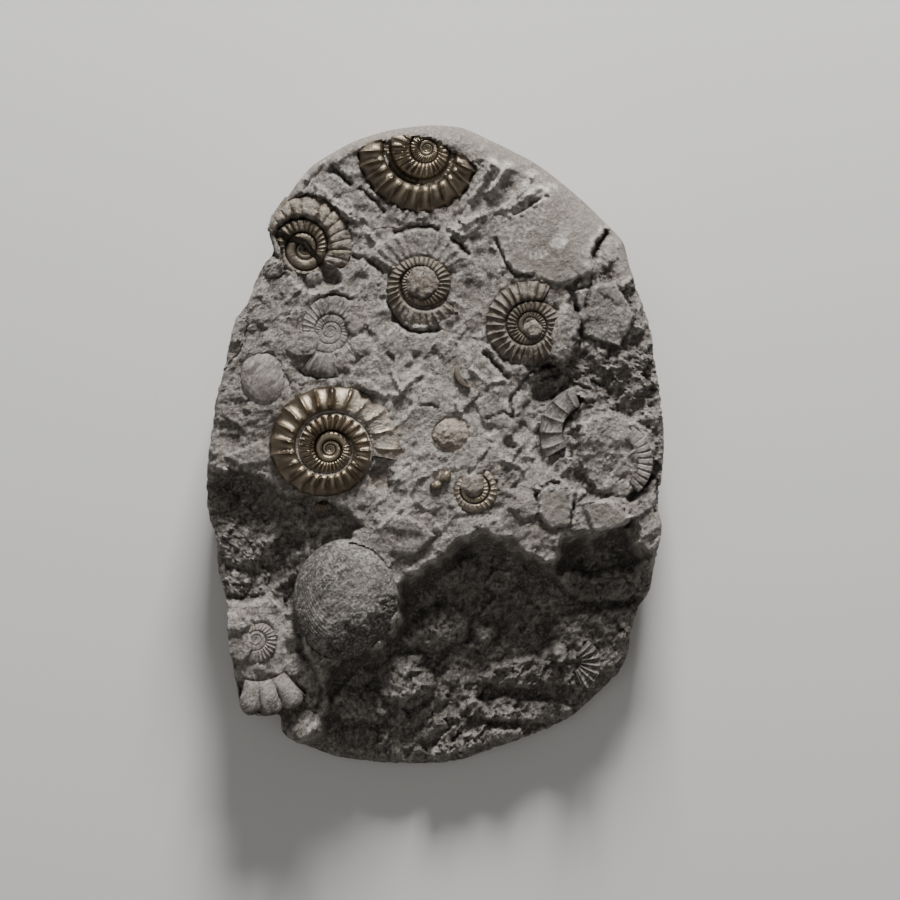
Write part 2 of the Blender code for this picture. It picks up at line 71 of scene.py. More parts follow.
# A coil starts this many quarters before its first radius, and one wider than this is large
FIRST_QUARTER = -10.0
LARGE_COIL = 22
NEVER = 99

# How far the rock is cut away under the fossils, below their seats
COIL_ROOM = 3.0
FOSSIL_ROOM = 1.5

SMOOTH_ANGLE = math.radians(60)
WELD_DISTANCE = 2e-6

# Slant of the scoops and of the pale streaks across the face, in degrees
SCOOP_SLANT = 50
STREAK_SLANT = 36

# A ghost with ribs higher than the first is a cast that stands out. One with ribs no higher than
# the second is so faint that a painted pale highlight alone shows it
CAST_LIFT = 0.6
POWDERED_LIFT = 0.35

# Tints that the settings don't give
RUST_TINT = (0.25, 0.19, 0.135)
CLAY_AND_SHADE_TINT = (0.085, 0.066, 0.05)
# Dark brown of the fill left in crevices, also used as a painted shadow along a broken coil
DAYLIGHT = (1.0, 0.98, 0.95, 1.0)

# Camera and lights in metres: the camera looks straight down on the face
CAMERA_PLACE = (0.006, -0.0016, 2.245)
CAMERA_LENS = 220
KEY_LIGHT = dict(place=(0.12, 1.29, 0.62), target=(0.0, 0.0, 0.03), size=0.40)
FILL_LIGHT = dict(place=(-0.3, -0.4, 1.8), target=(0.0, 0.0, 0.0), size=1.6)
FILL_SHARE = 0.13
ROOM_STRENGTH = 0.12

OUTLINE = [
    (-2, 129.3), (11, 128.3), (23, 123), (40, 114.5), (51, 106.5), (60.5, 98.5), (68.5, 90.5),
    (76, 82.5), (78.5, 73), (83.5, 58.5), (87, 48), (89, 34), (91.5, 18), (92.5, 5), (92, -10),
    (90, -23), (91.5, -33), (89, -47), (87, -59), (82, -67.5), (79.5, -78), (77, -89), (70, -97),
    (56, -110), (42, -117), (26, -122.5), (8, -128.5), (-16, -129.5), (-38, -127), (-54, -121.5),
    (-62, -116), (-63, -109.5), (-71, -109.5), (-78.5, -107), (-80.5, -97), (-82, -88),
    (-83.5, -77), (-84.5, -63), (-88, -51), (-89, -37), (-92, -27), (-92.5, -13), (-90.5, 3),
    (-88.5, 18), (-84.5, 34), (-81, 50), (-75.5, 58), (-73, 65), (-69.5, 72.5), (-65, 78.5),
    (-66.8, 85.5), (-65, 92.5), (-60.5, 98.5), (-55, 106.5), (-48.5, 113.5), (-33, 122.5),
    (-18, 127.3),
]

# How far the worn rim rolls inwards and down, by direction from the middle of the plate
RIM_ROLL = [
    (-180, 3, 5), (-120, 5, 8), (-90, 8, 9), (-45, 8, 9), (0, 5, 6), (35, 6, 8), (46, 12, 14),
    (53, 24, 18), (60, 25, 19), (71, 15, 16), (91, 8, 12), (110, 4, 8), (127, 3, 6), (180, 3, 5),
]

# Beds of the broken face: outline, rise above the face level, width of the broken edge
BEDS = {
    "lower_left": ([
        (-105, -10), (-92, -9), (-80, -9.5), (-69, -12), (-64, -17.5), (-58, -20.5), (-42, -21.5),
        (-36, -26.5), (-30, -32), (-36, -38), (-50, -45.5), (-54, -77.5), (-45, -97.5),
        (-47, -107.5), (-58, -122), (-64, -140), (-105, -130),
    ], -9.0, 2.4),
    "foot": ([
        (-14, -57.5), (-4, -50.5), (6, -45.5), (10.5, -39), (18, -37), (26, -38.5), (31, -43),
        (42, -46.5), (49, -52), (51, -41), (56, -37), (63, -39), (71, -34), (78, -30.5),
        (80, -39.5), (84, -46.5), (98, -47.5), (102, -142), (-66, -142), (-58, -121),
        (-46, -116), (-45, -97.5), (-42, -87.5), (-34, -82.5), (-22, -83.5), (-15, -71.5),
    ], -21.0, 7.0),
    "foot_shelf": ([
        (50, -53), (55, -49.5), (62, -52.5), (76, -50.5), (87, -45.5), (96, -50), (92, -61.5),
        (78, -61), (66, -63), (52, -58.5),
    ], 9.0, 3.0),
    "foot_bench": ([
        (50, -70), (66, -66.5), (82, -63.5), (95, -75), (84, -97.5), (66, -100.5), (56, -97.5),
        (26, -97.5), (18, -93.5), (26, -87.5), (44, -84),
    ], 6.0, 3.5),
    "foot_rib": ([
        (12, -104), (26, -101.5), (50, -103.5), (57, -108), (42, -112), (14, -110.5),
    ], 4.0, 2.4),
    "foot_lip": ([
        (3, -120), (16, -115.5), (34, -113.5), (38, -118), (18, -121.5), (6, -126),
    ], 4.5, 2.4),
    "head_skin": ([
        (25, 85.5), (24.5, 79), (27, 73.5), (32, 68.5), (40, 67.5), (50, 64.5), (60, 69),
        (63, 73.5), (64, 80.5), (68, 86.5), (90, 95), (60, 125), (26, 135), (16, 114.5),
        (34, 108.5), (46, 104.5), (42, 96.5), (32, 89.5),
    ], 0.9, 1.2),
    "right_rubble": ([
        (69, 86), (65, 81), (63.5, 73), (62, 66), (54, 63), (52, 52), (40, 32), (36, 22),
        (34, 8), (42, -8), (60, -20), (100, -20), (100, 86),
    ], -2.6, 4.0),
    "edge_platform": ([
        (58, 10), (70, 14), (84, 8), (88, -2), (87, -10), (79, -20), (64, -18), (58, -8),
    ], 2.4, 1.6),
    "block_low": ([
        (41, -17.5), (50, -16), (56, -18), (54.5, -31), (46, -31.5), (43, -26),
    ], 2.6, 1.0),
    "block_high": ([
        (58, -23), (68, -20.5), (77, -24), (79, -29.5), (68, -33), (56, -33.5),
    ], 3.4, 1.0),
    "corner_plate": ([
        (-95, -60), (-78, -63), (-66, -60), (-57.5, -68), (-55, -82), (-48, -92), (-50, -99),
        (-60, -95), (-72, -97), (-80, -94), (-95, -96),
    ], 3.4, 3.0),
    "left_shoulder": ([
        (-95, 60), (-74, 64), (-60, 60), (-56, 40), (-60, 22), (-72, 10), (-95, 8),
    ], 1.4, 6.0),
}

# Rounded swells and hollows: x, y, half sizes, turn in degrees, rise
SWELLS = [
    (-10, 0, 60, 70, 0, 2.5), (-36, -61.5, 23, 26, 15, 4.0), (-14, -45, 18, 14, 20, -2.0),
    (1, -74.5, 14, 9, 20, 11.0), (-12, -95, 12, 12, 0, 10.0), (-31, -105.5, 13, 8, -10, 10.0),
    (-53, -113, 11, 7, 20, 5.0), (13, -49, 4.5, 5, 0, 8.0), (20, -75.5, 6, 5, 0, 6.0),
    (2, -125.5, 6, 5, 0, 6.0), (60, 45, 14, 18, -30, 2.6), (72, 30, 14, 12, 0, 2.2),
    (42, 33.5, 6.5, 3.2, 20, -5.0), (44, 21.5, 6, 4, 0, -6.0), (56, 53.5, 4, 3, 0, -4.5),
    (30, 0.8, 3.2, 2.2, -20, -3.0), (-22.4, -12.8, 4.4, 4.6, 0, -0.8), (36, -25, 7, 6, 0, 2.0),
    (-80, -17, 12, 6, 5, -3.0), (-76, -42, 12, 9, 0, 3.0), (-62, -34, 9, 8, 0, 2.5),
    (-12, -36, 9, 3, -20, -3.5), (34, 104, 14, 6, 45, -1.6), (-48, 68, 9, 7, 0, -4.0),
    (68, 62, 12, 20, 10, 2.0), (48, -6, 7, 7, 0, 1.5), (86, 18, 8, 7, 40, -3.0),
    (-64.4, 71.8, 4.6, 4.4, 0, 2.4), (-42, 68, 5.5, 3.0, -20, -3.0),
    (64, 5, 10, 12, 0, 3.0), (77, -3, 8, 10, 0, 1.2), (56, 0, 6, 14, 0, 3.6),
]

# Long ridges and slots of split rock: points, half width, rise
RIDGES = [
    ([(15, 99), (23, 113)], 2.2, 2.0), ([(21.5, 101), (29, 111.5)], 1.8, 1.6),
    ([(6.5, 85.5), (15.5, 91), (27.5, 95.5), (35.5, 103), (39, 108)], 2.2, 0.6),
    ([(27.5, 94), (42.5, 103.5), (45, 102.5)], 1.6, 0.6),
    ([(32.5, 92.5), (37, 95.5), (44, 100)], 1.4, -2.6),
    ([(-41, 111), (-34.5, 105)], 1.8, -2.4),
    ([(-47.5, 102.5), (-37.5, 94.5), (-27.5, 91), (-21, 86)], 1.8, 1.4),
    ([(69, 85), (65, 81), (63.8, 75.5)], 1.6, -2.4),
    ([(24.5, 83), (25.5, 77.5), (28, 73.5), (32, 69), (39, 68)], 0.8, -1.0),
    ([(79, -20), (86, -12)], 2.4, -2.6), ([(8, 82.5), (10.5, 81), (12.5, 78)], 1.6, -2.6),
]

# Dark narrow cracks: points, half width, depth
CRACKS = [
    ([(-16.2, 85.3), (-11.1, 87.3), (-6.6, 88.2), (-1.5, 87.6), (1.2, 86.6)], 1.3, 2.6),
    ([(7, 82.7), (10, 80.2), (13.2, 77.2)], 1.2, 2.6),
    ([(-18.2, 57.5), (-15.6, 51), (-11.1, 46.8), (-6, 45.6), (1.2, 46.5)], 1.1, 3.0),
    ([(24.5, 83), (25.8, 78.8), (28, 73.8), (32.2, 68.3), (39, 68)], 0.8, 1.8),
    ([(-46.5, 58.1), (-43.5, 59.6), (-40.3, 60.1), (-35.5, 59.4), (-30.3, 56.8)], 1.0, 2.2),
    ([(-54.8, 30.6), (-52, 28.4), (-47, 27.4), (-43, 28), (-39.5, 27.9)], 0.9, 1.8),
    ([(-41, 111.8), (-37, 108), (-33.6, 105)], 1.0, 2.2),
    ([(-30.5, 103.2), (-25.6, 100.1), (-20.7, 93.9)], 0.9, 1.8),
    ([(-33.6, 76), (-28.7, 75.3), (-21.3, 70.4)], 0.8, 1.6),
    ([(-35.5, 90.2), (-31, 88.6), (-27.8, 85.9)], 0.8, 1.4),
    ([(39.6, 30.4), (33, 23), (30, 18.8), (31.2, 11.2)], 0.8, 1.8),
    ([(20.4, 36.8), (25, 31.6), (29.2, 27.2)], 1.5, 2.6),
    ([(40, -20), (42.8, -16.8), (50, -14)], 0.9, 2.0), ([(89.6, -13.6), (88.4, -26.4)], 0.9, 2.4),
    ([(56, -18.8), (54, -32)], 0.7, 1.4), ([(69, 86), (65, 81), (63.8, 75.5)], 1.2, 2.6),
    ([(52.9, 63.5), (56, 64), (58.4, 67.1)], 1.2, 2.0), ([(60.2, 55.4), (62.9, 68)], 0.9, 1.8),
    ([(43.5, 32), (49, 33)], 1.8, 3.6), ([(43, 27), (48.5, 28)], 1.0, 2.6),
    ([(78, -20.8), (82, -17), (87, -12.8)], 1.6, 3.0), ([(-19, 37), (-16.5, 34.2)], 0.9, 1.8),
    ([(20, 11), (27, 13.2), (31, 12)], 0.6, 1.2), ([(-6, 16.4), (1.6, 15.4)], 0.5, 1.2),
    ([(-60.6, 69.4), (-60.2, 73), (-62, 75.6), (-65, 76.4), (-68, 75)], 0.8, 1.8),
    ([(-60.6, 69.4), (-63, 67.4), (-66, 67.6)], 0.6, 1.2),
    ([(-60, 30), (-56, 18), (-58, 8)], 0.5, 0.8), ([(-84, 30), (-77, 40), (-74, 52)], 0.5, 0.8),
    ([(52.4, 31), (55, 25), (62, 23)], 0.8, 1.6), ([(63, 26), (68, 24), (71, 21)], 1.0, 2.0),
]

# Thin raised seams with pale powder on them: points, half width, rise
SEAMS = [
    ([(26, -4.8), (34, -8), (35.6, -10.4)], 0.7, 0.9), ([(8.4, 16.8), (12.4, 9.6)], 0.8, 0.8),
    ([(-47, 101), (-33, 91), (-24, 82)], 0.9, 1.0), ([(-53, 108), (-41, 99), (-34, 96)], 0.7, 0.6),
    ([(-22, -33), (-13, -24), (-7, -14), (2, -9)], 0.8, 0.8),
    ([(-27, 26), (-20, 20), (-14, 21), (-6, 29)], 0.8, 0.9), ([(-20, 5), (-10, 13), (-4, 24)], 0.7, 0.7),
    ([(-24, -24), (-16, -16), (-12, -6)], 0.6, 0.7), ([(-18, 30), (-13, 22)], 0.9, 1.0),
    ([(14, 30.4), (20.4, 25.6), (28, 26)], 0.7, 0.9), ([(4, 88), (13, 84), (17, 88)], 0.8, 0.9),
    ([(15, 99), (23, 113)], 1.2, 1.6), ([(21.5, 101), (29, 111.5)], 1.1, 1.5),
    ([(27.5, 94), (36, 99.5), (42.5, 103.5)], 1.0, 0.7), ([(34, 92), (42, 98), (47, 104)], 0.8, 1.0),
    ([(6.5, 85.5), (15.5, 91), (27.5, 95.5), (35.5, 103), (39, 108)], 1.1, 0.7),
    ([(52, 2), (54, -8), (50, -12)], 0.8, 0.9), ([(-60, -30), (-50, -33), (-40, -32)], 0.8, 0.8),
    ([(30, 60), (24, 52), (18, 44)], 0.5, 0.5), ([(8, 44), (12, 37), (14, 31)], 0.5, 0.6),
]

# Flat chipped faces: outline, rise, slope to the right, slope to the head
SLABS = [
    ([(14, 30.4), (18, 36), (22, 35), (28, 26), (20.4, 25.6)], 1.2, 0.02, 0.12),
    ([(41.2, -18.4), (46, -15.2), (53.2, -16), (55.5, -18.8), (53.6, -32), (45.2, -32.8),
      (42, -27.2)], 2.2, 0.02, 0.06),
    ([(56.4, -23.2), (58.8, -22.4), (62.8, -32), (62.4, -35.2), (54.4, -33.2)], 0.6, -0.15, 0.0),
    ([(59.6, -22), (69.2, -21.6), (78, -28.4), (78, -31.2), (64.4, -34.4), (62, -30.4)],
     2.4, 0.0, 0.10),
    ([(-6, 22), (6, 20), (10, 10), (-2, 6), (-12, 10)], 0.5, 0.03, 0.08),
    ([(16, 18), (24, 22), (30, 17), (29, 8), (20, 8)], 0.8, -0.04, 0.05),
    ([(-22, 44), (-14, 42), (-8, 34), (-16, 30), (-24, 36)], 0.8, 0.06, 0.10),
    ([(56, 62), (72, 66), (80, 52), (74, 40), (60, 44)], 0.8, 0.05, 0.06),
    ([(-84, -4), (-70, 2), (-64, -6), (-78, -8)], 0.6, 0.02, 0.1),
    ([(-24, -30), (-10, -28), (0, -36), (-8, -44), (-22, -42)], 1.0, 0.05, 0.1),
    ([(-26.4, -11), (-24.4, -8.4), (-20.4, -8.4), (-18.4, -11.6), (-19.6, -16.4), (-22.8, -18),
      (-25.6, -15.6)], -1.5, 0.05, -0.20),
]

# Ghosts of ribbed whorls pressed in the rock: middle, inner and outer radius, from and to in
# degrees, degrees from rib to rib, rib height, rise of the band
IMPRINTS = [
    ((-6.0, 65.4), 10.2, 24.0, 20, 156, 12.0, 1.3, 0.0),
    ((-6.0, 65.4), 13.4, 22.0, -62, -22, 11.0, 1.2, 0.2),
    ((-6.0, 65.4), 20.2, 30.0, 226, 280, 13.5, 1.5, 0.2),
    ((-52.4, 78.8), 9.6, 15.5, -88, -52, 14.0, 0.9, -1.0),
    ((-41.0, 47.5), 8.5, 14.6, -52, -12, 12.0, 1.2, 1.0),
    ((40.0, 82.6), 4.6, 8.2, 20, 320, 18.0, 0.32, -0.2),
    ((40.0, 82.6), 9.6, 15.0, 60, 215, 14.0, 0.35, -0.3),
    ((71.0, -5.6), 4.0, 9.5, 40, 200, 20.0, 0.35, -0.5),
    ((-86.0, 112.0), 38.0, 52.0, -42, -12, 5.0, 0.5, 0.0),
    ((-72.0, -77.6), 11.4, 16.0, -20, 60, 15.0, 0.5, -0.3),
]

# Rough rock left lying over the fossils: middle, half sizes, turn, level and doming
COVERS = [
    ((-5.0, 65.3), (6.9, 6.6), 0, 45.8, 1.3), ((39.2, 46.6), (3.9, 3.7), 0, 45.6, 0.8),
    ((51.6, 43.6), (5.6, 11.5), -10, 45.4, 1.0), ((15.2, -15.6), (5.2, 4.8), 10, 45.8, 1.4),
    ((-26.4, 23.4), (4.0, 2.2), -25, 47.4, 0.6), ((-29.8, 40.4), (5.0, 5.0), 20, 45.0, 0.6),
    ((-31.8, 51.0), (4.4, 7.4), 0, 45.2, 0.8), ((-53.0, 39.6), (6.8, 4.4), 10, 45.0, 0.4),
    ((-36.6, 34.6), (5.4, 5.2), 30, 44.6, 0.4), ((-50.4, 43.0), (4.6, 3.0), 0, 45.0, 0.2),
    ((-64.8, 88.6), (4.6, 2.2), 62, 42.6, 1.2), ((-20.6, 114.2), (2.2, 3.6), 20, 41.6, 0.4),
    ((-80.0, -71.0), (5.6, 5.0), 0, 38.2, 1.2), ((-78.6, -80.5), (5.4, 7.4), 0, 37.0, 0.5),
    ((50.4, -84.0), (2.6, 4.0), 0, 30.6, 0.4),
]

# Faces with a beige, rusty or whitish tint of their own: middle, half sizes, share
BEIGE_SPOTS = [
    ((48.0, -24.5), (8.0, 8.8), 0.9), ((68.0, -27.0), (11.5, 6.6), 0.75),
    ((80.0, -18.0), (7.0, 8.0), 0.45), ((-19.5, 84.0), (7.5, 4.0), 0.6),
    ((30.0, 96.0), (5.0, 4.0), 0.3),
    ((-32.0, 51.5), (3.4, 5.0), 0.6),
]
RUST_SPOTS = [
    ((-5.0, 65.3), (6.6, 6.3), 0.75), ((39.2, 46.6), (4.2, 4.0), 0.6), ((15.2, -15.6), (5.2, 4.8), 0.9),
    ((-22.4, -12.8), (4.2, 4.2), 0.9), ((6.2, 4.6), (6.4, 5.6), 0.4), ((-14.0, 6.0), (4.0, 9.0), 0.3),
]
WHITE_SPOTS = [
    ((49.4, 82.0), (3.6, 3.0), 0.75), ((52.0, 87.0), (2.4, 3.6), 0.3),
    ((-25.0, 76.5), (5.0, 2.6), 0.5),
    ((-81.0, -71.0), (6.0, 5.0), 0.6), ((2.0, 20.0), (9.0, 8.0), 0.35),
    ((-60.0, -72.0), (8.0, 10.0), 0.3), ((-66.0, -88.0), (14.0, 6.0), 0.3),
    ((-10.0, -4.0), (11.0, 8.0), 0.3), ((22.0, 6.0), (11.0, 10.0), 0.35),
]

# Coiled ammonites. Turns are counted in quarters from the middle, and the radii are those of the
# outer edge at each quarter. Ribs are pairs of a quarter and the ribs in a quarter there. Plain,
# crush and lobed are the quarters where ribs begin, the shell is crushed and the ribs grow wide.
# The crevice is the filled gap inside the last turn: from which quarter, its share, its depth
WHOLE_COIL = dict(stone=0, relief=0.5, crush=NEVER, crevice=(NEVER, 0.05, 0.2))
COILS = {
    "ammonite_large": dict(
        WHOLE_COIL, at=(-42.0, -1.2), seat=44.5, base=31.0, start=90, hand=-1, end=13.1,
        swell=0.42, plain=4.6,
        radii=[3.6, 4.6, 5.2, 6.0, 7.4, 8.6, 9.6, 12.6, 14.4, 17.0, 18.8, 24.0, 25.2, 29.2, 31.0],
        ribs=[(0, 8.2), (8, 7.6), (9, 6.0), (14, 4.9)], crush=11.9, crevice=(8.4, 0.07, -0.7)),
    "ammonite_top": dict(
        WHOLE_COIL, at=(-3.2, 119.2), seat=40.5, base=30.0, start=180, hand=-1, end=12.1,
        swell=0.36, plain=1.5,
        radii=[3.2, 3.7, 4.4, 5.8, 6.8, 7.6, 8.8, 12.0, 14.8, 17.0, 20.4, 25.6, 28.4, 29.0],
        ribs=[(0, 7.6), (8, 7.2), (9.5, 5.8), (11, 6.2), (12, 7.4)], stone=0.1, relief=0.52,
        crevice=(9.6, 0.2, 0.8), wall=(11.1, 12.0),
        keep=[(-33, 90), (-33, 116), (-29, 120.5), (-17, 124.3), (-2, 124.3), (6, 119.5),
              (17, 112.5), (19, 90)]),
    "ammonite_left": dict(
        WHOLE_COIL, at=(-52.4, 78.8), seat=40.0, base=36.4, start=-90, hand=1, end=10.7,
        swell=0.4, plain=4.6,
        radii=[4.0, 4.8, 6.8, 7.6, 8.4, 9.2, 12.4, 13.6, 15.2, 19.2, 22.8, 25.6],
        ribs=[(0, 7.6), (6.5, 7.6), (8, 6.6), (11, 6.6)], stone=0.6, relief=0.42,
        lobed=6.9, break_line=[(-66.0, 86.6), (-52.0, 82.4), (-40.0, 68.0)],
        keep=[(-59.5, 98.5), (-64.5, 91.5), (-66, 86), (-62.5, 79), (-61, 70), (-52, 69),
              (-42, 71), (-33, 71), (-25, 92), (-40, 106)]),
    "ammonite_centre": dict(
        WHOLE_COIL, at=(-6.0, 65.4), seat=43.5, base=34.0, start=0, hand=1, end=11.6,
        swell=0.34, plain=3.0,
        radii=[3.6, 4.0, 4.8, 6.0, 6.8, 6.8, 7.4, 9.6, 12.4, 10.6, 13.0, 18.8, 20.8],
        ribs=[(0, 8.0), (8, 8.6), (12, 7.5)], stone=0.2, crush=10.1, crevice=(9.4, 0.14, 1.2)),
    "ammonite_right": dict(
        WHOLE_COIL, at=(38.0, 48.4), seat=43.0, base=34.0, start=90, hand=-1, end=12.3,
        swell=0.34, plain=3.0,
        radii=[3.2, 3.6, 4.2, 4.8, 5.6, 6.8, 8.0, 9.6, 9.8, 13.0, 16.4, 17.6, 18.0, 18.4],
        ribs=[(0, 8.0), (12, 7.2)], stone=0.4),
    "ammonite_grey": dict(
        WHOLE_COIL, at=(-42.0, 46.0), seat=43.2, base=36.0, start=90, hand=-1, end=10.4,
        swell=0.17, plain=1.6,
        radii=[3.6, 4.4, 5.2, 6.0, 6.8, 7.4, 8.6, 10.8, 14.0, 15.6, 18.4, 19.5],
        ribs=[(0, 7.6), (12, 7.2)], relief=0.45),
    "ammonite_small": dict(
        WHOLE_COIL, at=(15.2, -17.2), seat=44.0, base=37.0, start=0, hand=1, end=8.6,
        swell=0.34, plain=2.0,
        radii=[4.0, 4.2, 5.0, 5.6, 6.4, 6.4, 7.6, 9.6, 9.8, 9.0],
        ribs=[(0, 6.0), (12, 6.0)], stone=0.35, relief=0.4, crevice=(5.6, 0.12, 0.8)),
    "ammonite_corner": dict(
        WHOLE_COIL, at=(-72.0, -77.6), seat=35.0, base=26.0, start=0, hand=-1, end=5.6,
        swell=0.26, plain=0.5,
        radii=[4.0, 4.6, 5.4, 6.6, 8.2, 9.6, 10.4],
        ribs=[(0, 7.0), (12, 7.0)],
        keep=[(-81.5, -65), (-60, -65), (-58, -92), (-79, -92)]),
}

# Broken stretches of whorl: from and to in degrees, inner and outer radius at both ends, and how
# far the rock laps over their edges
WHORL_ARCS = {
    "whorl_corner": dict(
        at=(-72.0, -77.6), seat=33.0, base=25.0, sweep=(-105, -49), inner=(16.8, 17.4),
        outer=(29.8, 31.2), ribs=3, swell=0.36, form="lobes", lap=0.5),
    "whorl_edge": dict(
        at=(71.0, -5.6), seat=42.4, base=34.0, sweep=(58, -52), inner=(9.5, 11.0),
        outer=(15.6, 16.6), ribs=10, swell=0.26, form="grooves", lap=0.8),
    "whorl_fragment": dict(
        at=(62.0, 5.5), seat=40.9, base=34.0, sweep=(110, 210), inner=(11.0, 11.0),
        outer=(19.4, 20.4), ribs=5, swell=0.22, form="crests", lap=1.6),
    "whorl_foot": dict(
        at=(55.0, -87.0), seat=28.2, base=22.0, sweep=(52, -68), inner=(3.0, 4.0),
        outer=(11.0, 12.5), ribs=7, swell=0.3, form="crests", lap=1.2),
    "whorl_sliver": dict(
        at=(16.4, 30.6), seat=45.6, base=39.0, sweep=(170, 252), inner=(6.6, 6.4),
        outer=(9.2, 8.8), ribs=1, swell=0.6, form="smooth", lap=0.5),
    "whorl_shaded": dict(
        at=(-45.0, -20.0), seat=37.0, base=30.0, sweep=(-125, -50), inner=(3.4, 3.4),
        outer=(6.6, 6.4), ribs=5, swell=0.5, form="crests", lap=0.8),
}

# Smooth shells: middle, half sizes, turn, seat, base, rise of the dome and its growth lines.
# A dome is the flatter on top and the steeper at its edge the lower its "full" is
SHELLS = {
    "bivalve_large": dict(
        at=(-36.0, -61.5), half=(21.0, 24.5), turn=-14, seat=36.0, base=24.0, rise=15.0,
        cells=190, lines=34, line_depth=0.13, rough=0.34, full=0.75),
    "bivalve_left": dict(
        at=(-69.0, 26.6), half=(9.0, 11.2), turn=8, seat=43.0, base=38.0, rise=4.2,
        cells=70, lines=8, line_depth=0.03, rough=0.05, full=1.2),
    "bivalve_middle": dict(
        at=(6.2, 4.6), half=(8.0, 7.0), turn=30, seat=43.2, base=39.0, rise=3.2,
        cells=60, lines=0, line_depth=0.0, rough=0.45, full=2.0),
    "pyrite_bead_upper": dict(
        at=(4.2, -12.2), half=(2.6, 1.9), turn=40, seat=45.2, base=41.0, rise=1.9,
        cells=24, lines=0, line_depth=0.0, rough=0.25, full=1.0),
    "pyrite_bead_lower": dict(
        at=(0.4, -15.6), half=(2.5, 1.7), turn=10, seat=45.2, base=41.0, rise=1.9,
        cells=24, lines=0, line_depth=0.0, rough=0.25, full=1.0),
}

# Pyrite fossils: share of the pyrite colour, share of bare metal, dullness of the polish
PYRITE = {
    "ammonite_large": (0.96, 1.0, 0.27), "ammonite_top": (0.86, 1.0, 0.27),
    "ammonite_left": (0.55, 0.85, 0.34), "ammonite_centre": (0.4, 0.5, 0.4),
    "ammonite_right": (0.36, 0.45, 0.42), "ammonite_small": (0.95, 0.8, 0.36),
    "whorl_sliver": (1.3, 0.9, 0.28), "whorl_shaded": (1.2, 0.5, 0.45),
    "pyrite_bead_upper": (1.3, 0.8, 0.3), "pyrite_bead_lower": (1.3, 0.8, 0.3),
}

# Stone fossils: tint over the grey of the shells, share of the specks
TINTS = {
    "whorl_corner": ((0.6, 0.56, 0.53), 0.6), "bivalve_middle": ((1.5, 1.34, 1.15), 0.5),
    "bivalve_large": ((0.66, 0.66, 0.66), 1.0), "bivalve_left": ((1.0, 0.97, 0.95), 0.25),
    "ammonite_grey": ((0.66, 0.62, 0.60), 0.6), "ammonite_corner": ((0.75, 0.70, 0.65), 0.6),
    "whorl_fragment": ((0.6, 0.58, 0.56), 0.6), "whorl_edge": ((0.85, 0.81, 0.77), 0.6),
    "whorl_foot": ((0.42, 0.40, 0.38), 0.6),
}


# Noise on arrays of places: sizes are in millimetres, and each use has a seed of its own


def smooth_step(value):
    value = np.clip(value, 0.0, 1.0)
    return value * value * (3.0 - 2.0 * value)


def scatter(ix, iy, iz, seed):
    """A fixed random number between 0 and 1 for each whole-numbered place."""
    n = (ix.astype(np.int64) * 374761393 + iy.astype(np.int64) * 668265263
         + iz.astype(np.int64) * 2147483647 + seed * 974711) & 0xFFFFFFFF
    n = ((n ^ (n >> 13)) * 1274126177) & 0xFFFFFFFF
    n = ((n ^ (n >> 16)) * 2246822519) & 0xFFFFFFFF
    return ((n ^ (n >> 15)) & 0xFFFFFF) / float(0x1000000)


def waves(x, y, z, size, seed):
    """One octave of smooth noise between about -1 and 1."""
    px, py, pz = x / size, y / size, z / size
    ix, iy, iz = np.floor(px), np.floor(py), np.floor(pz)
    fx, fy, fz = px - ix, py - iy, pz - iz
    ux, uy, uz = (f * f * f * (f * (f * 6 - 15) + 10) for f in (fx, fy, fz))
    total = np.zeros(x.shape)
    for cx in (0, 1):
        for cy in (0, 1):
            for cz in (0, 1):
                turn = scatter(ix + cx, iy + cy, iz + cz, seed) * 2 * math.pi
                lift = scatter(ix + cx, iy + cy, iz + cz, seed + 77) * 2 - 1
                flat = np.sqrt(1 - lift * lift)
                slope = (np.cos(turn) * flat * (fx - cx) + np.sin(turn) * flat * (fy - cy)
                         + lift * (fz - cz))
                weight = ((ux if cx else 1 - ux) * (uy if cy else 1 - uy)
                          * (uz if cz else 1 - uz))
                total += weight * slope
    return total * 1.6


def cloud(x, y, z, size, seed, octaves=4, fade=0.55):
    """Several octaves of smooth noise, each half the size of the one before."""
    total = np.zeros(x.shape)
    strength = 1.0
    for k in range(octaves):
        total += strength * waves(x, y, z, size / 2 ** k, seed + 13 * k)
        strength *= fade
    return total


def scoops(x, y, size, seed, tilt=0.5, bowl=0.8):
    """Shallow scoops that meet in sharp ridges, as chipped stone has, about -1 to 1."""
    px, py = x / size, y / size
    ix, iy = np.floor(px), np.floor(py)
    level = np.zeros(x.shape)
    best = np.full(x.shape, 1e9)
    for cx in (-1, 0, 1):
        for cy in (-1, 0, 1):
            jx = ix + cx + scatter(ix + cx, iy + cy, level, seed)
            jy = iy + cy + scatter(ix + cx, iy + cy, level, seed + 1)
            ax, ay = px - jx, py - jy
            gx = scatter(ix + cx, iy + cy, level, seed + 2) - 0.5
            gy = scatter(ix + cx, iy + cy, level, seed + 3) - 0.5
            lift = scatter(ix + cx, iy + cy, level, seed + 4) - 0.5
            bowl_height = lift + 2 * tilt * (gx * ax + gy * ay) + bowl * (ax * ax + ay * ay)
            best = np.minimum(best, bowl_height)
    return best


# Distances on the face


def distance_to_line(x, y, points, closed=False):
    """Shortest distance from each place to a line of points."""
    ends = points[1:] + points[:1] if closed else points[1:]
    best = np.full(x.shape, 1e9)
    for (ax, ay), (bx, by) in zip(points, ends):
        dx, dy = bx - ax, by - ay
        share = np.clip(((x - ax) * dx + (y - ay) * dy) / (dx * dx + dy * dy), 0.0, 1.0)
        best = np.minimum(best, np.hypot(x - ax - share * dx, y - ay - share * dy))
    return best


def inside(x, y, points):
    """True where a place lies in a closed line of points."""
    found = np.zeros(x.shape, bool)
    for (ax, ay), (bx, by) in zip(points, points[1:] + points[:1]):
        if ay == by:
            continue
        crosses = (ay > y) != (by > y)
        found ^= crosses & (x < (bx - ax) * (y - ay) / (by - ay) + ax)
    return found


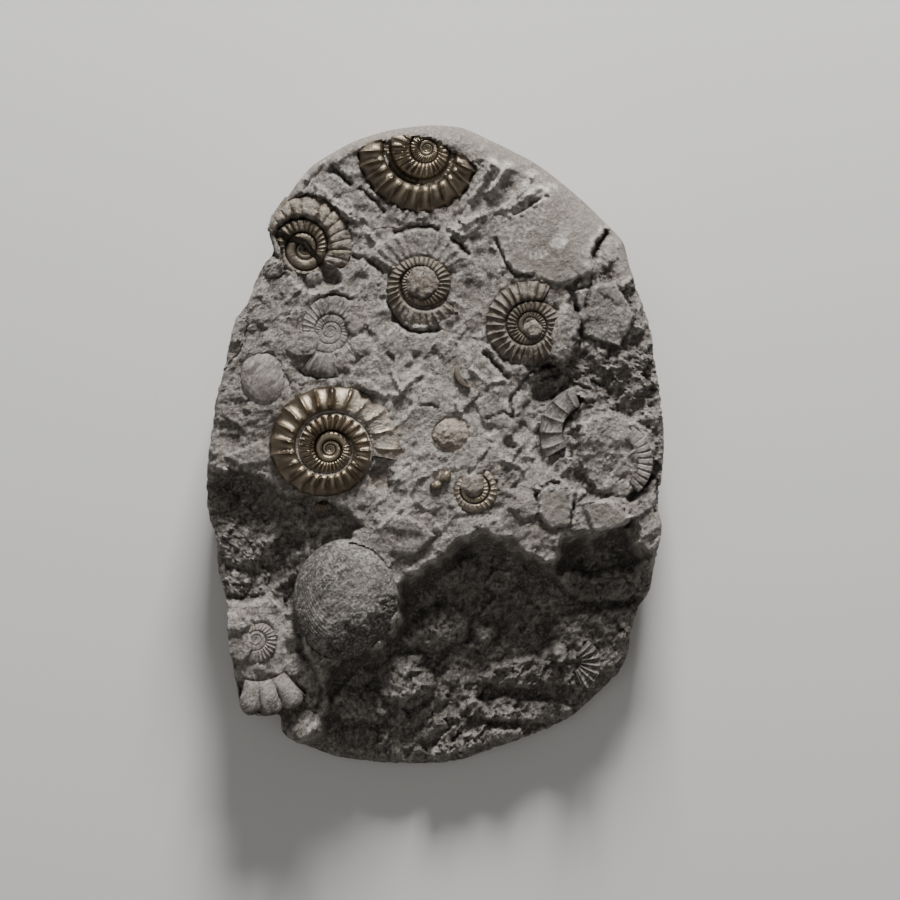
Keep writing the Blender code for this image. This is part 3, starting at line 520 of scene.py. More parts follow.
def depth_in(x, y, points):
    """Distance to a closed line, positive inside it."""
    gap = distance_to_line(x, y, points, closed=True)
    return np.where(inside(x, y, points), gap, -gap)


def curve_between(p0, p1, p2, p3, t):
    """A smooth curve from the second to the third value, led by their neighbours."""
    return 0.5 * (2 * p1 + (p2 - p0) * t + (2 * p0 - 5 * p1 + 4 * p2 - p3) * t * t
                  + (3 * p1 - p0 - 3 * p2 + p3) * t ** 3)


def smooth_outline(points, each):
    """A closed line through the points with a few more places between each two."""
    p = np.array(points, float)
    p0, p1, p2, p3 = (np.roll(p, k, axis=0) for k in (1, 0, -1, -2))
    rows = [curve_between(p0, p1, p2, p3, k / each) for k in range(each)]
    return np.stack(rows, axis=1).reshape(-1, 2)


def oval_axes(x, y, at, half, turn):
    """Places along and across a turned oval, as shares of its half sizes."""
    c, s = math.cos(math.radians(turn)), math.sin(math.radians(turn))
    dx, dy = x - at[0], y - at[1]
    return (dx * c + dy * s) / half[0], (dy * c - dx * s) / half[1]


def oval_share(shell, x, y):
    """Distance from the middle of a shell as a share of its half size."""
    return np.hypot(*oval_axes(x, y, shell["at"], shell["half"], shell["turn"]))


# Coils


def coil_radius(coil, quarter):
    """Outer radius of a coil after so many quarter turns."""
    radii = np.array(coil["radii"], float)
    quarter = np.asarray(quarter, float)
    i = np.clip(np.floor(quarter), 0, len(radii) - 2).astype(int)
    t = quarter - i
    p1, p2 = radii[i], radii[i + 1]
    p0 = np.where(i > 0, radii[np.maximum(i - 1, 0)], p1 * 0.85)
    p3 = np.where(i + 2 < len(radii), radii[np.minimum(i + 2, len(radii) - 1)], p2 * 2 - p1)
    hub_curl = radii[0] * 1.9 ** (quarter / 4)
    return np.where(quarter <= 0, hub_curl, curve_between(p0, p1, p2, p3, t))


def coil_edge(coil, x, y):
    """Signed distance outwards from the last turn of a coil, and the quarter turn there."""
    dx, dy = x - coil["at"][0], y - coil["at"][1]
    angle = np.arctan2(dy, dx) - math.radians(coil["start"])
    quarter = np.mod(coil["hand"] * angle / QUARTER, 4.0)
    quarter = quarter + 4.0 * np.floor((coil["end"] - quarter) / 4.0)
    return np.hypot(dx, dy) - coil_radius(coil, quarter), quarter


# The face of the rock


def rock_height(x, y):
    """Height of the broken face above the sawn back, with its chips and grain."""
    flat = np.zeros(x.shape)
    bent_x = x + 1.8 * cloud(x, y, flat, 9.0, 3, 4, 0.62)
    bent_y = y + 1.8 * cloud(x, y, flat, 9.0, 9, 4, 0.62)
    height = np.full(x.shape, FACE_LEVEL)
    height -= FOOT_SLOPE * np.clip((-y - 40.0) / 90.0, 0.0, 1.0)
    soft_x = x + 1.8 * cloud(x, y, flat, 9.0, 3, 2, 0.62)
    soft_y = y + 1.8 * cloud(x, y, flat, 9.0, 9, 2, 0.62)
    for points, rise, edge in BEDS.values():
        if edge > 4.0 and rise < 0.0:
            fall = smooth_step(0.5 + depth_in(soft_x, soft_y, points) / edge)
            level = fall * 4.0 + 0.5 * cloud(x, y, flat, 14.0, 101, 3)
            ledge = np.floor(level) + smooth_step(np.mod(level, 1.0) * 2.2 - 0.6)
            share = np.where((fall > 0.02) & (fall < 0.98), 0.45, 0.0)
            height += rise * np.clip(fall + share * (ledge / 4.0 - fall), 0.0, 1.0)
        else:
            height += rise * smooth_step(0.5 + depth_in(bent_x, bent_y, points) / edge)
    for at_x, at_y, half_x, half_y, turn, rise in SWELLS:
        along, across = oval_axes(bent_x, bent_y, (at_x, at_y), (half_x, half_y), turn)
        height += rise * np.clip(1.0 - along ** 2 - across ** 2, 0.0, 1.0) ** 0.8
    for points, half_width, rise in RIDGES:
        gap = distance_to_line(bent_x, bent_y, points)
        height += rise * np.clip(1.0 - gap / half_width, 0.0, 1.0)
    rough = roughness_at(x, y)
    fine_x, fine_y = frayed(x, y)
    slant = math.radians(SCOOP_SLANT)
    long_way = fine_x * math.cos(slant) + fine_y * math.sin(slant)
    short_way = (fine_y * math.cos(slant) - fine_x * math.sin(slant)) * 2.2
    wild = 0.8 + 0.95 * broken_share(x, y)
    height += rough * wild * 1.35 * scoops(bent_x, bent_y, 12.0, 5)
    height += rough * wild * 1.4 * scoops(long_way, short_way, 7.5, 15, 1.3, 0.35)
    height += rough * wild * 0.8 * scoops(fine_x, fine_y, 4.6, 25, 1.3, 0.35)
    height += (0.08 + 0.92 * rough) * wild * 0.65 * scoops(x, y, 2.4, 35, 1.2, 0.4)
    height += (0.2 + 0.8 * rough) * wild * 0.42 * cloud(x, y, flat, 2.0, 45, 4, 0.9)
    return add_marks(x, y, fine_x, fine_y, height)


def add_marks(x, y, fine_x, fine_y, height):
    """Adds the chipped faces, ribbed ghosts, seams and cracks that lie at known places."""
    mid_x, mid_y = (x + fine_x) / 2, (y + fine_y) / 2
    for points, rise, slope_x, slope_y in SLABS:
        share = smooth_step(0.5 + depth_in(mid_x, mid_y, points) / 0.8)
        middle = np.mean(points, axis=0)
        face = 0.2 * (height - FACE_LEVEL) + FACE_LEVEL + rise
        face = face + slope_x * (x - middle[0]) + slope_y * (y - middle[1])
        height = height + share * (face - height) * 0.92
    for at, inner, outer, begin, end, spacing, lift, rise in IMPRINTS:
        radius, turn, band = ghost_band(mid_x, mid_y, (at, inner, outer, begin, end), 3.0)
        rib = 1.0 - np.abs(np.sin(math.pi * turn / spacing)) ** 0.8
        if lift > CAST_LIFT:
            out = (radius - inner) / (outer - inner)
            cast = FACE_LEVEL + rise + lift * rib + 0.5 * out + 0.2 * (height - FACE_LEVEL)
            height = height + 0.9 * band * (cast - height)
        else:
            height = height + band * (rise + lift * rib)
    for points, half_width, rise in SEAMS:
        gap = distance_to_line(fine_x, fine_y, points)
        height = height + 1.5 * rise * np.clip(1.2 - gap / half_width, 0.0, 1.0)
    for points, half_width, depth in CRACKS:
        gap = distance_to_line(fine_x, fine_y, points)
        height = height - 1.2 * depth * smooth_step(1.2 - gap / half_width)
    return height


def ghost_band(x, y, band, fade):
    """Radius and degrees about the middle of a ghost, and the share of its ribbed band."""
    at, inner, outer, begin, end = band
    dx, dy = x - at[0], y - at[1]
    radius = np.hypot(dx, dy)
    turn = np.mod(np.degrees(np.arctan2(dy, dx)) - begin, 360.0)
    share = smooth_step((radius - inner) / 0.8) * smooth_step((outer - radius) / fade)
    share = share * smooth_step(turn / 6.0) * smooth_step((end - begin - turn) / 6.0)
    return radius, turn, share


def frayed(x, y):
    """Places pushed about a little so that lines drawn on the face turn ragged."""
    flat = np.zeros(x.shape)
    return x + 0.8 * cloud(x, y, flat, 4.0, 21, 3), y + 0.8 * cloud(x, y, flat, 4.0, 29, 3)


def line_tone(x, y, lines, spread):
    """Share of a tint on and beside seams or cracks."""
    tone = np.zeros(x.shape)
    fine_x, fine_y = frayed(x, y)
    for points, half_width, _ in lines:
        away = distance_to_line(fine_x, fine_y, points) / (spread * half_width)
        tone = np.maximum(tone, np.clip(1.3 - away, 0, 1))
    return tone


def spot_tone(x, y, spots):
    """Share of a soft-edged tint in a few ovals."""
    tone = np.zeros(x.shape)
    edge = 0.25 * cloud(x, y, tone, 4.0, 97, 3)
    for at, half, share in spots:
        away = np.hypot((x - at[0]) / half[0], (y - at[1]) / half[1]) + edge
        tone = np.maximum(tone, share * smooth_step((1.15 - away) / 0.35))
    return tone


def ghost_rib_highlight(x, y):
    """Share of a painted pale highlight on the turns and ribs of the faintest ghosts."""
    tone = np.zeros(x.shape)
    fine_x, fine_y = frayed(x, y)
    mid_x, mid_y = (x + fine_x) / 2, (y + fine_y) / 2
    for at, inner, outer, begin, end, spacing, lift, _ in IMPRINTS:
        if lift > POWDERED_LIFT:
            continue
        radius, turn, band = ghost_band(mid_x, mid_y, (at, inner, outer, begin, end), 0.8)
        rib = (1.0 - np.abs(np.sin(math.pi * turn / spacing))) ** 1.5
        ring = np.clip(1.0 - np.abs(radius - inner) / 0.8, 0.0, 1.0) * (turn < end - begin)
        tone = np.maximum(tone, np.maximum(band * rib, 0.8 * ring))
    return tone


def broken_share(x, y):
    """Share of loose rubble: the low foot, the right-hand side and the lower left."""
    share = np.zeros(x.shape)
    for name in ("foot", "right_rubble", "lower_left"):
        share = np.maximum(share, np.clip(depth_in(x, y, BEDS[name][0]) / 7.0, 0.0, 1.0))
    for name in ("edge_platform", "corner_plate"):
        share = share * (1.0 - smooth_step(depth_in(x, y, BEDS[name][0]) / 3.0 + 0.5))
    return share


def rim_roll(x, y):
    """Direction from the middle of the plate, and how far in and down the rim rolls there."""
    direction = np.degrees(np.arctan2(y, x))
    table = np.array(RIM_ROLL, float)
    reach, fall = (np.interp(direction, table[:, 0], table[:, k]) for k in (1, 2))
    return direction, reach, fall


def roughness_at(x, y):
    """How broken the face is: near nothing on the worn skin of the head and rim."""
    skin = smooth_step(0.5 + depth_in(x, y, BEDS["head_skin"][0]) / 6.0)
    direction, reach, _ = rim_roll(x, y)
    worn = (direction > 40) & (direction < 130)
    rim = np.where(worn, smooth_step(1.2 - depth_in(x, y, OUTLINE) / reach), 0.0)
    return 1.0 - 0.85 * np.maximum(skin, rim)


def rim_fall(x, y):
    """How far the rim drops below the face near the outline."""
    _, reach, fall = rim_roll(x, y)
    inward = np.clip(depth_in(x, y, OUTLINE) / reach, 0.0, 1.0)
    return fall * (1.0 - np.sqrt(1.0 - (1.0 - inward) ** 2))


def make_room(x, y, height):
    """Lowers the rock under each fossil so that only its ragged edge laps over the shell."""
    ragged = 0.45 + 0.8 * cloud(x, y, np.zeros(x.shape), 3.6, 61, 4, 0.65)
    height = room_for_coils(x, y, height, ragged)
    for arc in WHORL_ARCS.values():
        depth = depth_in(x, y, arc_outline(arc)) - arc["lap"] * ragged
        height = np.where(depth > 0, np.minimum(height, arc["seat"] - FOSSIL_ROOM), height)
    height = room_for_shells(x, y, height, ragged)
    return lay_covers(x, y, height)


def room_for_coils(x, y, height, ragged):
    """Lowers the rock under the coils, with a shallow moat round each of them."""
    for coil in COILS.values():
        outwards, quarter = coil_edge(coil, x, y)
        late = smooth_step((quarter - coil["crush"] + 0.2) / 0.9)
        depth = -outwards - ragged * (1.0 + 2.6 * late) - 1.2 * late
        if "keep" in coil:
            depth = np.minimum(depth, depth_in(x, y, coil["keep"]) - 0.3 - 0.5 * ragged)
        floor = coil["seat"] - COIL_ROOM
        height = np.where(depth > 0, np.minimum(height, floor + 1.5 * np.exp(-depth)), height)
        moat = smooth_step(1.0 + depth / 1.6) * (depth <= 0)
        height = height - 0.5 * moat
    return height


def room_for_shells(x, y, height, ragged):
    """Lowers the rock under the domed shells and slopes it down to their edges."""
    for shell in SHELLS.values():
        share_out = oval_share(shell, x, y)
        away = np.minimum(share_out, 1.0)
        dome = shell["seat"] + 0.96 * shell["rise"] * (1 - away ** 2) ** (0.5 * shell["full"])
        bare = (away < 1) & ((dome > height + 0.2 * ragged) | (away < 0.92))
        edge = shell["seat"] + shell["rise"] * (1 - 0.92 ** 2) ** (0.5 * shell["full"])
        slope = edge + 0.1 + 0.3 * ragged + 0.2 * shell["half"][0] * (share_out - 0.92)
        slope = slope + 60.0 * np.clip(share_out - 1.25, 0.0, 1.0)
        height = np.where(share_out > 0.92, np.minimum(height, slope), height)
        height = np.where(bare, np.minimum(height, shell["seat"] - FOSSIL_ROOM), height)
    return height


def lay_covers(x, y, height):
    """Lays the rough rock that was left on the fossils."""
    flat = np.zeros(x.shape)
    crumb = 0.5 * cloud(x, y, flat, 2.4, 67, 4, 0.75) + 0.4 * scoops(x, y, 1.8, 69)
    for at, half, turn, level, dome in COVERS:
        share = np.hypot(*oval_axes(x, y, at, half, turn)) + 0.12 * cloud(x, y, flat, 3.0, 63, 3)
        top = level + dome * (1 - share * share) + crumb - 2.6 * smooth_step((share - 0.82) / 0.26)
        height = np.where(share < 1.15, np.maximum(height, top), height)
    return height


def arc_outline(arc):
    """Closed line around a broken stretch of whorl."""
    there, back = ([(arc["at"][0] + r * math.cos(a), arc["at"][1] + r * math.sin(a))
                    for a, r in zip(np.radians(np.linspace(*arc["sweep"], 13)),
                                    np.linspace(*arc[side], 13))]
                   for side in ("outer", "inner"))
    return there + back[::-1]


# Meshes wrapped from a grid


def nothing_selected():
    if bpy.context.object and bpy.context.object.mode != "OBJECT":
        bpy.ops.object.mode_set(mode="OBJECT")
    bpy.ops.object.select_all(action="DESELECT")


def add_grid(name, columns, rows):
    """A flat square grid from -1 to 1 with its places as an array."""
    nothing_selected()
    bpy.ops.mesh.primitive_grid_add(x_subdivisions=columns, y_subdivisions=rows, size=2)
    made = bpy.context.object
    made.name = name
    made.data.name = name
    return made, read_places(made)


def square_to_disc(u, v):
    """Places of a square from -1 to 1 drawn in to a round disc."""
    return u * np.sqrt(1 - v * v / 2), v * np.sqrt(1 - u * u / 2)


def read_places(made):
    flat = np.empty(len(made.data.vertices) * 3)
    made.data.vertices.foreach_get("co", flat)
    return flat.reshape(-1, 3)


def write_places(made, places):
    made.data.vertices.foreach_set("co", np.ascontiguousarray(places, dtype=np.float32).ravel())
    made.data.update()


def write_tone(made, name, values):
    """Stores one number for each corner of the mesh for the material to read."""
    layer = made.data.attributes.new(name, "FLOAT", "POINT")
    layer.data.foreach_set("value", np.asarray(values, np.float32))


def select_where(made, chosen):
    """Starts editing a mesh with the vertices selected that an array marks as True."""
    for part in (made.data.polygons, made.data.edges):
        part.foreach_set("select", np.zeros(len(part), bool))
    made.data.vertices.foreach_set("select", chosen)
    bpy.ops.object.mode_set(mode="EDIT")
    bpy.ops.mesh.select_mode(type="VERT")


def select_open_edges():
    """Selects the open edges of the mesh that is being edited."""
    bpy.ops.mesh.select_mode(type="EDGE")
    bpy.ops.mesh.select_all(action="DESELECT")
    bpy.ops.mesh.select_non_manifold(use_boundary=True, use_wire=False, use_multi_face=False,
                                     use_non_contiguous=False, use_verts=False)


def close_below(made, base, hub=None):
    """Closes a draped mesh: fills its hub, drops its open edge to the base, fills the base."""
    bpy.ops.object.mode_set(mode="EDIT")
    select_open_edges()
    if hub:
        shape = bmesh.from_edit_mesh(made.data)
        middle = np.array((*hub[0], 0.0)) * MM
        rim = [edge for edge in shape.edges if edge.select]
        near = [edge for edge in rim
                if all(np.hypot(*(np.array(v.co) - middle)[:2]) < hub[1] * MM for v in edge.verts)]
        for edge in rim:
            edge.select_set(edge in near)
        bpy.ops.mesh.edge_face_add()
        select_open_edges()
    bpy.ops.mesh.extrude_region_move(TRANSFORM_OT_translate={"value": (0, 0, -MM)})
    shape = bmesh.from_edit_mesh(made.data)
    for vert in shape.verts:
        if vert.select:
            vert.co.z = base * MM
    bpy.ops.mesh.edge_face_add()
    finish_mesh()


def finish_mesh():
    bpy.ops.object.mode_set(mode="EDIT")
    bpy.ops.mesh.select_all(action="SELECT")
    bpy.ops.mesh.normals_make_consistent(inside=False)
    bpy.ops.object.mode_set(mode="OBJECT")
    bpy.ops.object.shade_smooth_by_angle(angle=SMOOTH_ANGLE)


def ride_and_replace(made, node):
    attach(made, "root")
    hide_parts(node)


# Materials


class Paint:
    """A material in the making, with short ways to add and join its nodes."""

    def __init__(self, name):
        self.material = bpy.data.materials.new(name)
        self.material.use_nodes = True
        self.nodes = self.material.node_tree.nodes
        self.links = self.material.node_tree.links
        self.shader = self.nodes["Principled BSDF"]
        self.place = self.nodes.new("ShaderNodeTexCoord").outputs["Object"]

    def feed(self, value, socket):
        """Joins an output to a socket, or sets the socket to a number or a colour."""
        if isinstance(value, bpy.types.NodeSocket):
            self.links.new(value, socket)
        elif isinstance(value, tuple):
            socket.default_value = (*value, 1.0)
        else:
            socket.default_value = value

    def noise(self, scale, detail=6.0, rough=0.6, distort=0.0, place=None):
        made = self.nodes.new("ShaderNodeTexNoise")
        made.inputs["Scale"].default_value = scale
        made.inputs["Detail"].default_value = detail
        made.inputs["Roughness"].default_value = rough
        made.inputs["Distortion"].default_value = distort
        self.links.new(self.place if place is None else place, made.inputs["Vector"])
        return made.outputs["Fac"]

    def ramp(self, source, low, high, low_value=0.0, high_value=1.0):
        """Stretches low to high of a tone over another range, and stops at its ends."""
        made = self.nodes.new("ShaderNodeMapRange")
        made.inputs["From Min"].default_value = low
        made.inputs["From Max"].default_value = high
        made.inputs["To Min"].default_value = low_value
        made.inputs["To Max"].default_value = high_value
        self.links.new(source, made.inputs["Value"])
        return made.outputs["Result"]

    def mix(self, share, first, second):
        """Mixes two colours; each is a colour or the output of another node."""
        made = self.nodes.new("ShaderNodeMix")
        made.data_type = "RGBA"
        self.links.new(share, made.inputs["Factor"])
        self.feed(first, made.inputs[6])
        self.feed(second, made.inputs[7])
        return made.outputs[2]

    def combine(self, operation, first, second=0.0):
        made = self.nodes.new("ShaderNodeMath")
        made.operation = operation
        self.feed(first, made.inputs[0])
        self.feed(second, made.inputs[1])
        return made.outputs[0]

    def times(self, first, second):
        return self.combine("MULTIPLY", first, second)

    def plus(self, first, second):
        return self.combine("ADD", first, second)

    def tone(self, name):
        """A tone stored on the mesh."""
        made = self.nodes.new("ShaderNodeAttribute")
        made.attribute_name = name
        return made.outputs["Fac"]

    def slanted(self, angle, scale):
        """Places turned about Z and squeezed, for streaks that run one way."""
        made = self.nodes.new("ShaderNodeMapping")
        made.vector_type = "TEXTURE"
        made.inputs["Rotation"].default_value = (0.0, 0.0, math.radians(angle))
        made.inputs["Scale"].default_value = scale
        self.links.new(self.place, made.inputs["Vector"])
        return made.outputs["Vector"]

    def chips(self, scale, bend_scale, reach):
        """Small bowls that meet in sharp ridges, bent by noise out of their regular outline."""
        push = self.nodes.new("ShaderNodeTexNoise")
        push.inputs["Scale"].default_value = bend_scale
        self.links.new(self.place, push.inputs["Vector"])
        bent = self.nodes.new("ShaderNodeVectorMath")
        bent.operation = "MULTIPLY_ADD"
        self.links.new(push.outputs["Color"], bent.inputs[0])
        bent.inputs[1].default_value = (reach, reach, reach)
        self.links.new(self.place, bent.inputs[2])
        made = self.nodes.new("ShaderNodeTexVoronoi")
        made.inputs["Scale"].default_value = scale
        self.links.new(bent.outputs["Vector"], made.inputs["Vector"])
        return made.outputs["Distance"]

    def bump(self, height, distance):
        made = self.nodes.new("ShaderNodeBump")
        made.inputs["Distance"].default_value = distance
        made.inputs["Strength"].default_value = 1.0
        self.links.new(height, made.inputs["Height"])
        self.links.new(made.outputs["Normal"], self.shader.inputs["Normal"])

    def coat(self, values):
        """Feeds the sockets of the shader by their names."""
        for name, value in values.items():
            self.feed(value, self.shader.inputs[name])


def tinted(colour, share):
    """A colour made darker or brighter."""
    return tuple(c * share for c in colour)


def rock_material(settings):
    """Grey mudstone: speckled, bruised pale on its edges with a painted highlight there, painted shade
    in its pits, hollows and cracks, beige on the rim.
    """
    paint = Paint("split_mudstone")
    grey, pale = settings.rock_colour, tuple(settings.bruise_colour)
    # Dark grey for the random mottle and specks, and for the painted shade in pits, hollows and cracks
    dark = tinted(grey, 0.28)
    broad = paint.noise(45.0, 5.0)
    mottle = paint.noise(260.0, 7.0, 0.68, 0.5)
    speck = paint.noise(750.0, 4.0, 0.8)
    streak = paint.noise(260.0, 6.0, 0.66, 0.4, paint.slanted(STREAK_SLANT, (3.4, 0.6, 1.0)))
    sweep = paint.noise(150.0, 5.0, 0.6, 0.5, paint.slanted(STREAK_SLANT, (5.0, 0.5, 1.0)))
    hair = paint.combine("ABSOLUTE", paint.combine("SUBTRACT", sweep, 0.5))
    scratch = paint.combine("MAXIMUM", paint.ramp(hair, 0.014, 0.003),
                         paint.ramp(streak, 0.54, 0.62, 0.12, 1.0))
    base = paint.mix(paint.ramp(broad, 0.35, 0.65), tinted(grey, 0.76), tinted(grey, 1.16))
    base = paint.mix(paint.ramp(mottle, 0.48, 0.34, 0.0, 0.35), base, dark)
    for name, share, tint in (
            ("skin", paint.ramp(mottle, 0.35, 0.6, 0.55, 1.0), tuple(settings.rim_colour)),
            ("rust", paint.ramp(mottle, 0.35, 0.55, 0.4, 1.0), RUST_TINT),
            # Painted shade: darkens the pits, hollows, cracks and broken foot of the face and the deep
            # dents of the side
            ("painted_shade", paint.ramp(mottle, 0.3, 0.6, 0.6, 1.0), dark),
            # Pale edges: bruised powder and also a painted highlight on every convex crest and on the
            # bumps of the side
            ("edge", paint.ramp(mottle, 0.40, 0.58, 0.1, 1.0), pale),
            ("powder", scratch, tinted(pale, 1.16))):
        base = paint.mix(paint.times(paint.tone(name), share), base, tint)
    bare = paint.ramp(paint.tone("skin"), 0.0, 1.0, 1.0, 0.35)
    for low, high, most, tint in ((0.47, 0.34, 0.65, pale), (0.53, 0.65, 0.8, dark)):
        share = paint.times(bare, paint.ramp(speck, low, high, 0.0, most))
        base = paint.mix(share, base, tint)
    grain = paint.times(mottle, 2.0)
    for part, weight in ((speck, 1.5), (paint.chips(330.0, 260.0, 0.004), 0.9), (streak, 0.9)):
        grain = paint.plus(grain, paint.times(part, weight))
    soft = paint.ramp(paint.tone("skin"), 0.2, 0.9, 1.0, 0.4)
    paint.coat({"Base Color": base, "Roughness": 0.85, "Specular IOR Level": 0.25})
    paint.bump(paint.times(grain, soft), 0.0012)
    return paint.material


def pyrite_material(name, bright, metal_share, shine, stone):
    """Bronze pyrite: polished, with a painted highlight on its crests and painted shade at its seams,
    brown and dull in the hollows and along the painted shadow of a break, with fine pits and stone on
    it.
    """
    paint = Paint(name)
    patch = paint.noise(160.0, 5.0, 0.6, 0.5)
    fine = paint.noise(1400.0, 4.0, 0.65)
    crust = paint.noise(500.0, 6.0, 0.7)
    clay_and_shade, buried = paint.tone("clay_and_shade"), paint.tone("stone")
    shade = tinted(bright, 0.2)
    # Painted light: the lit copy of the bronze where the crest tone is high, the dark shade copy at
    # seams and in low places
    lit = paint.times(paint.ramp(paint.tone("crest"), 0.0, 0.6),
                      paint.ramp(patch, 0.3, 0.55, 0.55, 1.0))
    colour = paint.mix(lit, shade, bright)
    colour = paint.mix(paint.ramp(fine, 0.6, 0.75, 0.0, 0.6), colour, shade)
    # Brown fill in crevices, and a painted shadow along the break of a coil
    colour = paint.mix(clay_and_shade, colour, CLAY_AND_SHADE_TINT)
    rock = paint.mix(paint.ramp(crust, 0.38, 0.62), tinted(stone, 0.5), tinted(stone, 1.4))
    cover = paint.combine("MAXIMUM", clay_and_shade, buried)
    paint.coat({
        "Base Color": paint.mix(buried, colour, rock),
        "Metallic": paint.ramp(cover, 0.0, 0.8, metal_share, 0.0),
        "Roughness": paint.plus(paint.ramp(patch, 0.3, 0.7, shine, shine + 0.2),
                                paint.ramp(cover, 0.0, 1.0, 0.0, 0.4)),
    })
    pits = paint.times(paint.plus(fine, patch), 0.22)
    grit = paint.times(crust, paint.ramp(buried, 0.0, 1.0, 0.0, 1.2))
    paint.bump(paint.plus(pits, grit), 0.001)
    return paint.material


def shell_material(name, grey, pale, specks):
    """Grey calcite shell and mudstone casts: chalky, mottled, with pale scratches, a painted highlight
    on their crests, painted shade between lobes and on a steep flank, and dark clumps.
    """
    paint = Paint(name)
    patch = paint.noise(120.0, 7.0, 0.66, 0.4)
    fine = paint.noise(800.0, 4.0, 0.78)
    scratch = paint.noise(420.0, 5.0, 0.66, 0.3, paint.slanted(52, (3.0, 0.6, 1.0)))
    # Painted highlight: pale colour where the crest tone is high
    crest = paint.times(paint.tone("crest"), paint.ramp(patch, 0.40, 0.62, 0.1, 0.65))
    base = paint.mix(paint.ramp(patch, 0.38, 0.60), tinted(grey, 0.45), tinted(grey, 1.05))
    for share, tint in (
            (crest, pale),
            (paint.ramp(scratch, 0.53, 0.64, 0.0, 0.6), pale),
            # Painted shade between lobes and grooves and on a steep flank, and darker clumps of rock
            (paint.tone("clay_and_shade"), tinted(grey, 0.35)),
            (paint.ramp(fine, 0.52, 0.63, 0.0, 0.8 * specks), tinted(grey, 0.3)),
            (paint.ramp(fine, 0.47, 0.36, 0.0, 0.6 * specks), pale)):
        base = paint.mix(share, base, tint)
    paint.coat({"Base Color": base, "Roughness": 0.72, "Specular IOR Level": 0.35})
    grain = paint.plus(paint.plus(fine, paint.times(patch, 1.4)), scratch)
    paint.bump(paint.times(grain, 0.4 + 0.6 * specks), 0.0008)
    return paint.material


def dress(made, node):
    """Gives a finished fossil its material, body and node."""
    settings = bpy.context.scene.fossil_plate
    if node in PYRITE:
        share, metal_share, shine = PYRITE[node]
        material = pyrite_material("pyrite_" + node, tinted(settings.pyrite_colour, share),
                                   metal_share, shine, settings.rock_colour)
    else:
        tint, specks = TINTS[node]
        grey = tuple(c * t for c, t in zip(settings.shell_colour, tint))
        material = shell_material("stone_" + node, grey, tinted(settings.bruise_colour, 0.72),
                                  specks)
    made.data.materials.append(material)
    ride_and_replace(made, node)


# Settings


class PlateSettings(bpy.types.PropertyGroup):
    cells_across: bpy.props.IntProperty(
        name="Cells across", description="Cells of the rock face from left to right",
        default=228, min=40, max=300)
    cells_along: bpy.props.IntProperty(
        name="Cells along", description="Cells of the rock face from foot to head",
        default=316, min=60, max=400)
    side_rings: bpy.props.IntProperty(
        name="Side rings", description="Rings of cells down the side of the slab",
        default=22, min=4, max=30)
    rock_colour: bpy.props.FloatVectorProperty(
        name="Rock", description="Grey of the split mudstone", subtype="COLOR",
        default=(0.335, 0.298, 0.263), min=0.0, max=1.0)
    bruise_colour: bpy.props.FloatVectorProperty(
        name="Bruised edges", description="Pale powder on the edges of the rock", subtype="COLOR",
        default=(0.74, 0.69, 0.635), min=0.0, max=1.0)
    rim_colour: bpy.props.FloatVectorProperty(
        name="Worn rim", description="Beige of the smooth weathered rim", subtype="COLOR",
        default=(0.23, 0.202, 0.175), min=0.0, max=1.0)
    pyrite_colour: bpy.props.FloatVectorProperty(
        name="Pyrite", description="Bronze of the polished ribs", subtype="COLOR",
        default=(0.345, 0.285, 0.212), min=0.0, max=1.0)
    shell_colour: bpy.props.FloatVectorProperty(
        name="Grey shell", description="Grey of the shells and casts", subtype="COLOR",
        default=(0.275, 0.246, 0.222), min=0.0, max=1.0)
    key_power: bpy.props.FloatProperty(
        name="Key light", description="Power of the soft light beyond the head", unit="POWER",
        default=38.0, min=0.0)
    floor_colour: bpy.props.FloatVectorProperty(
        name="Floor", description="Pale floor under the slab", subtype="COLOR",
        default=(0.80, 0.79, 0.77), min=0.0, max=1.0)


# Operators


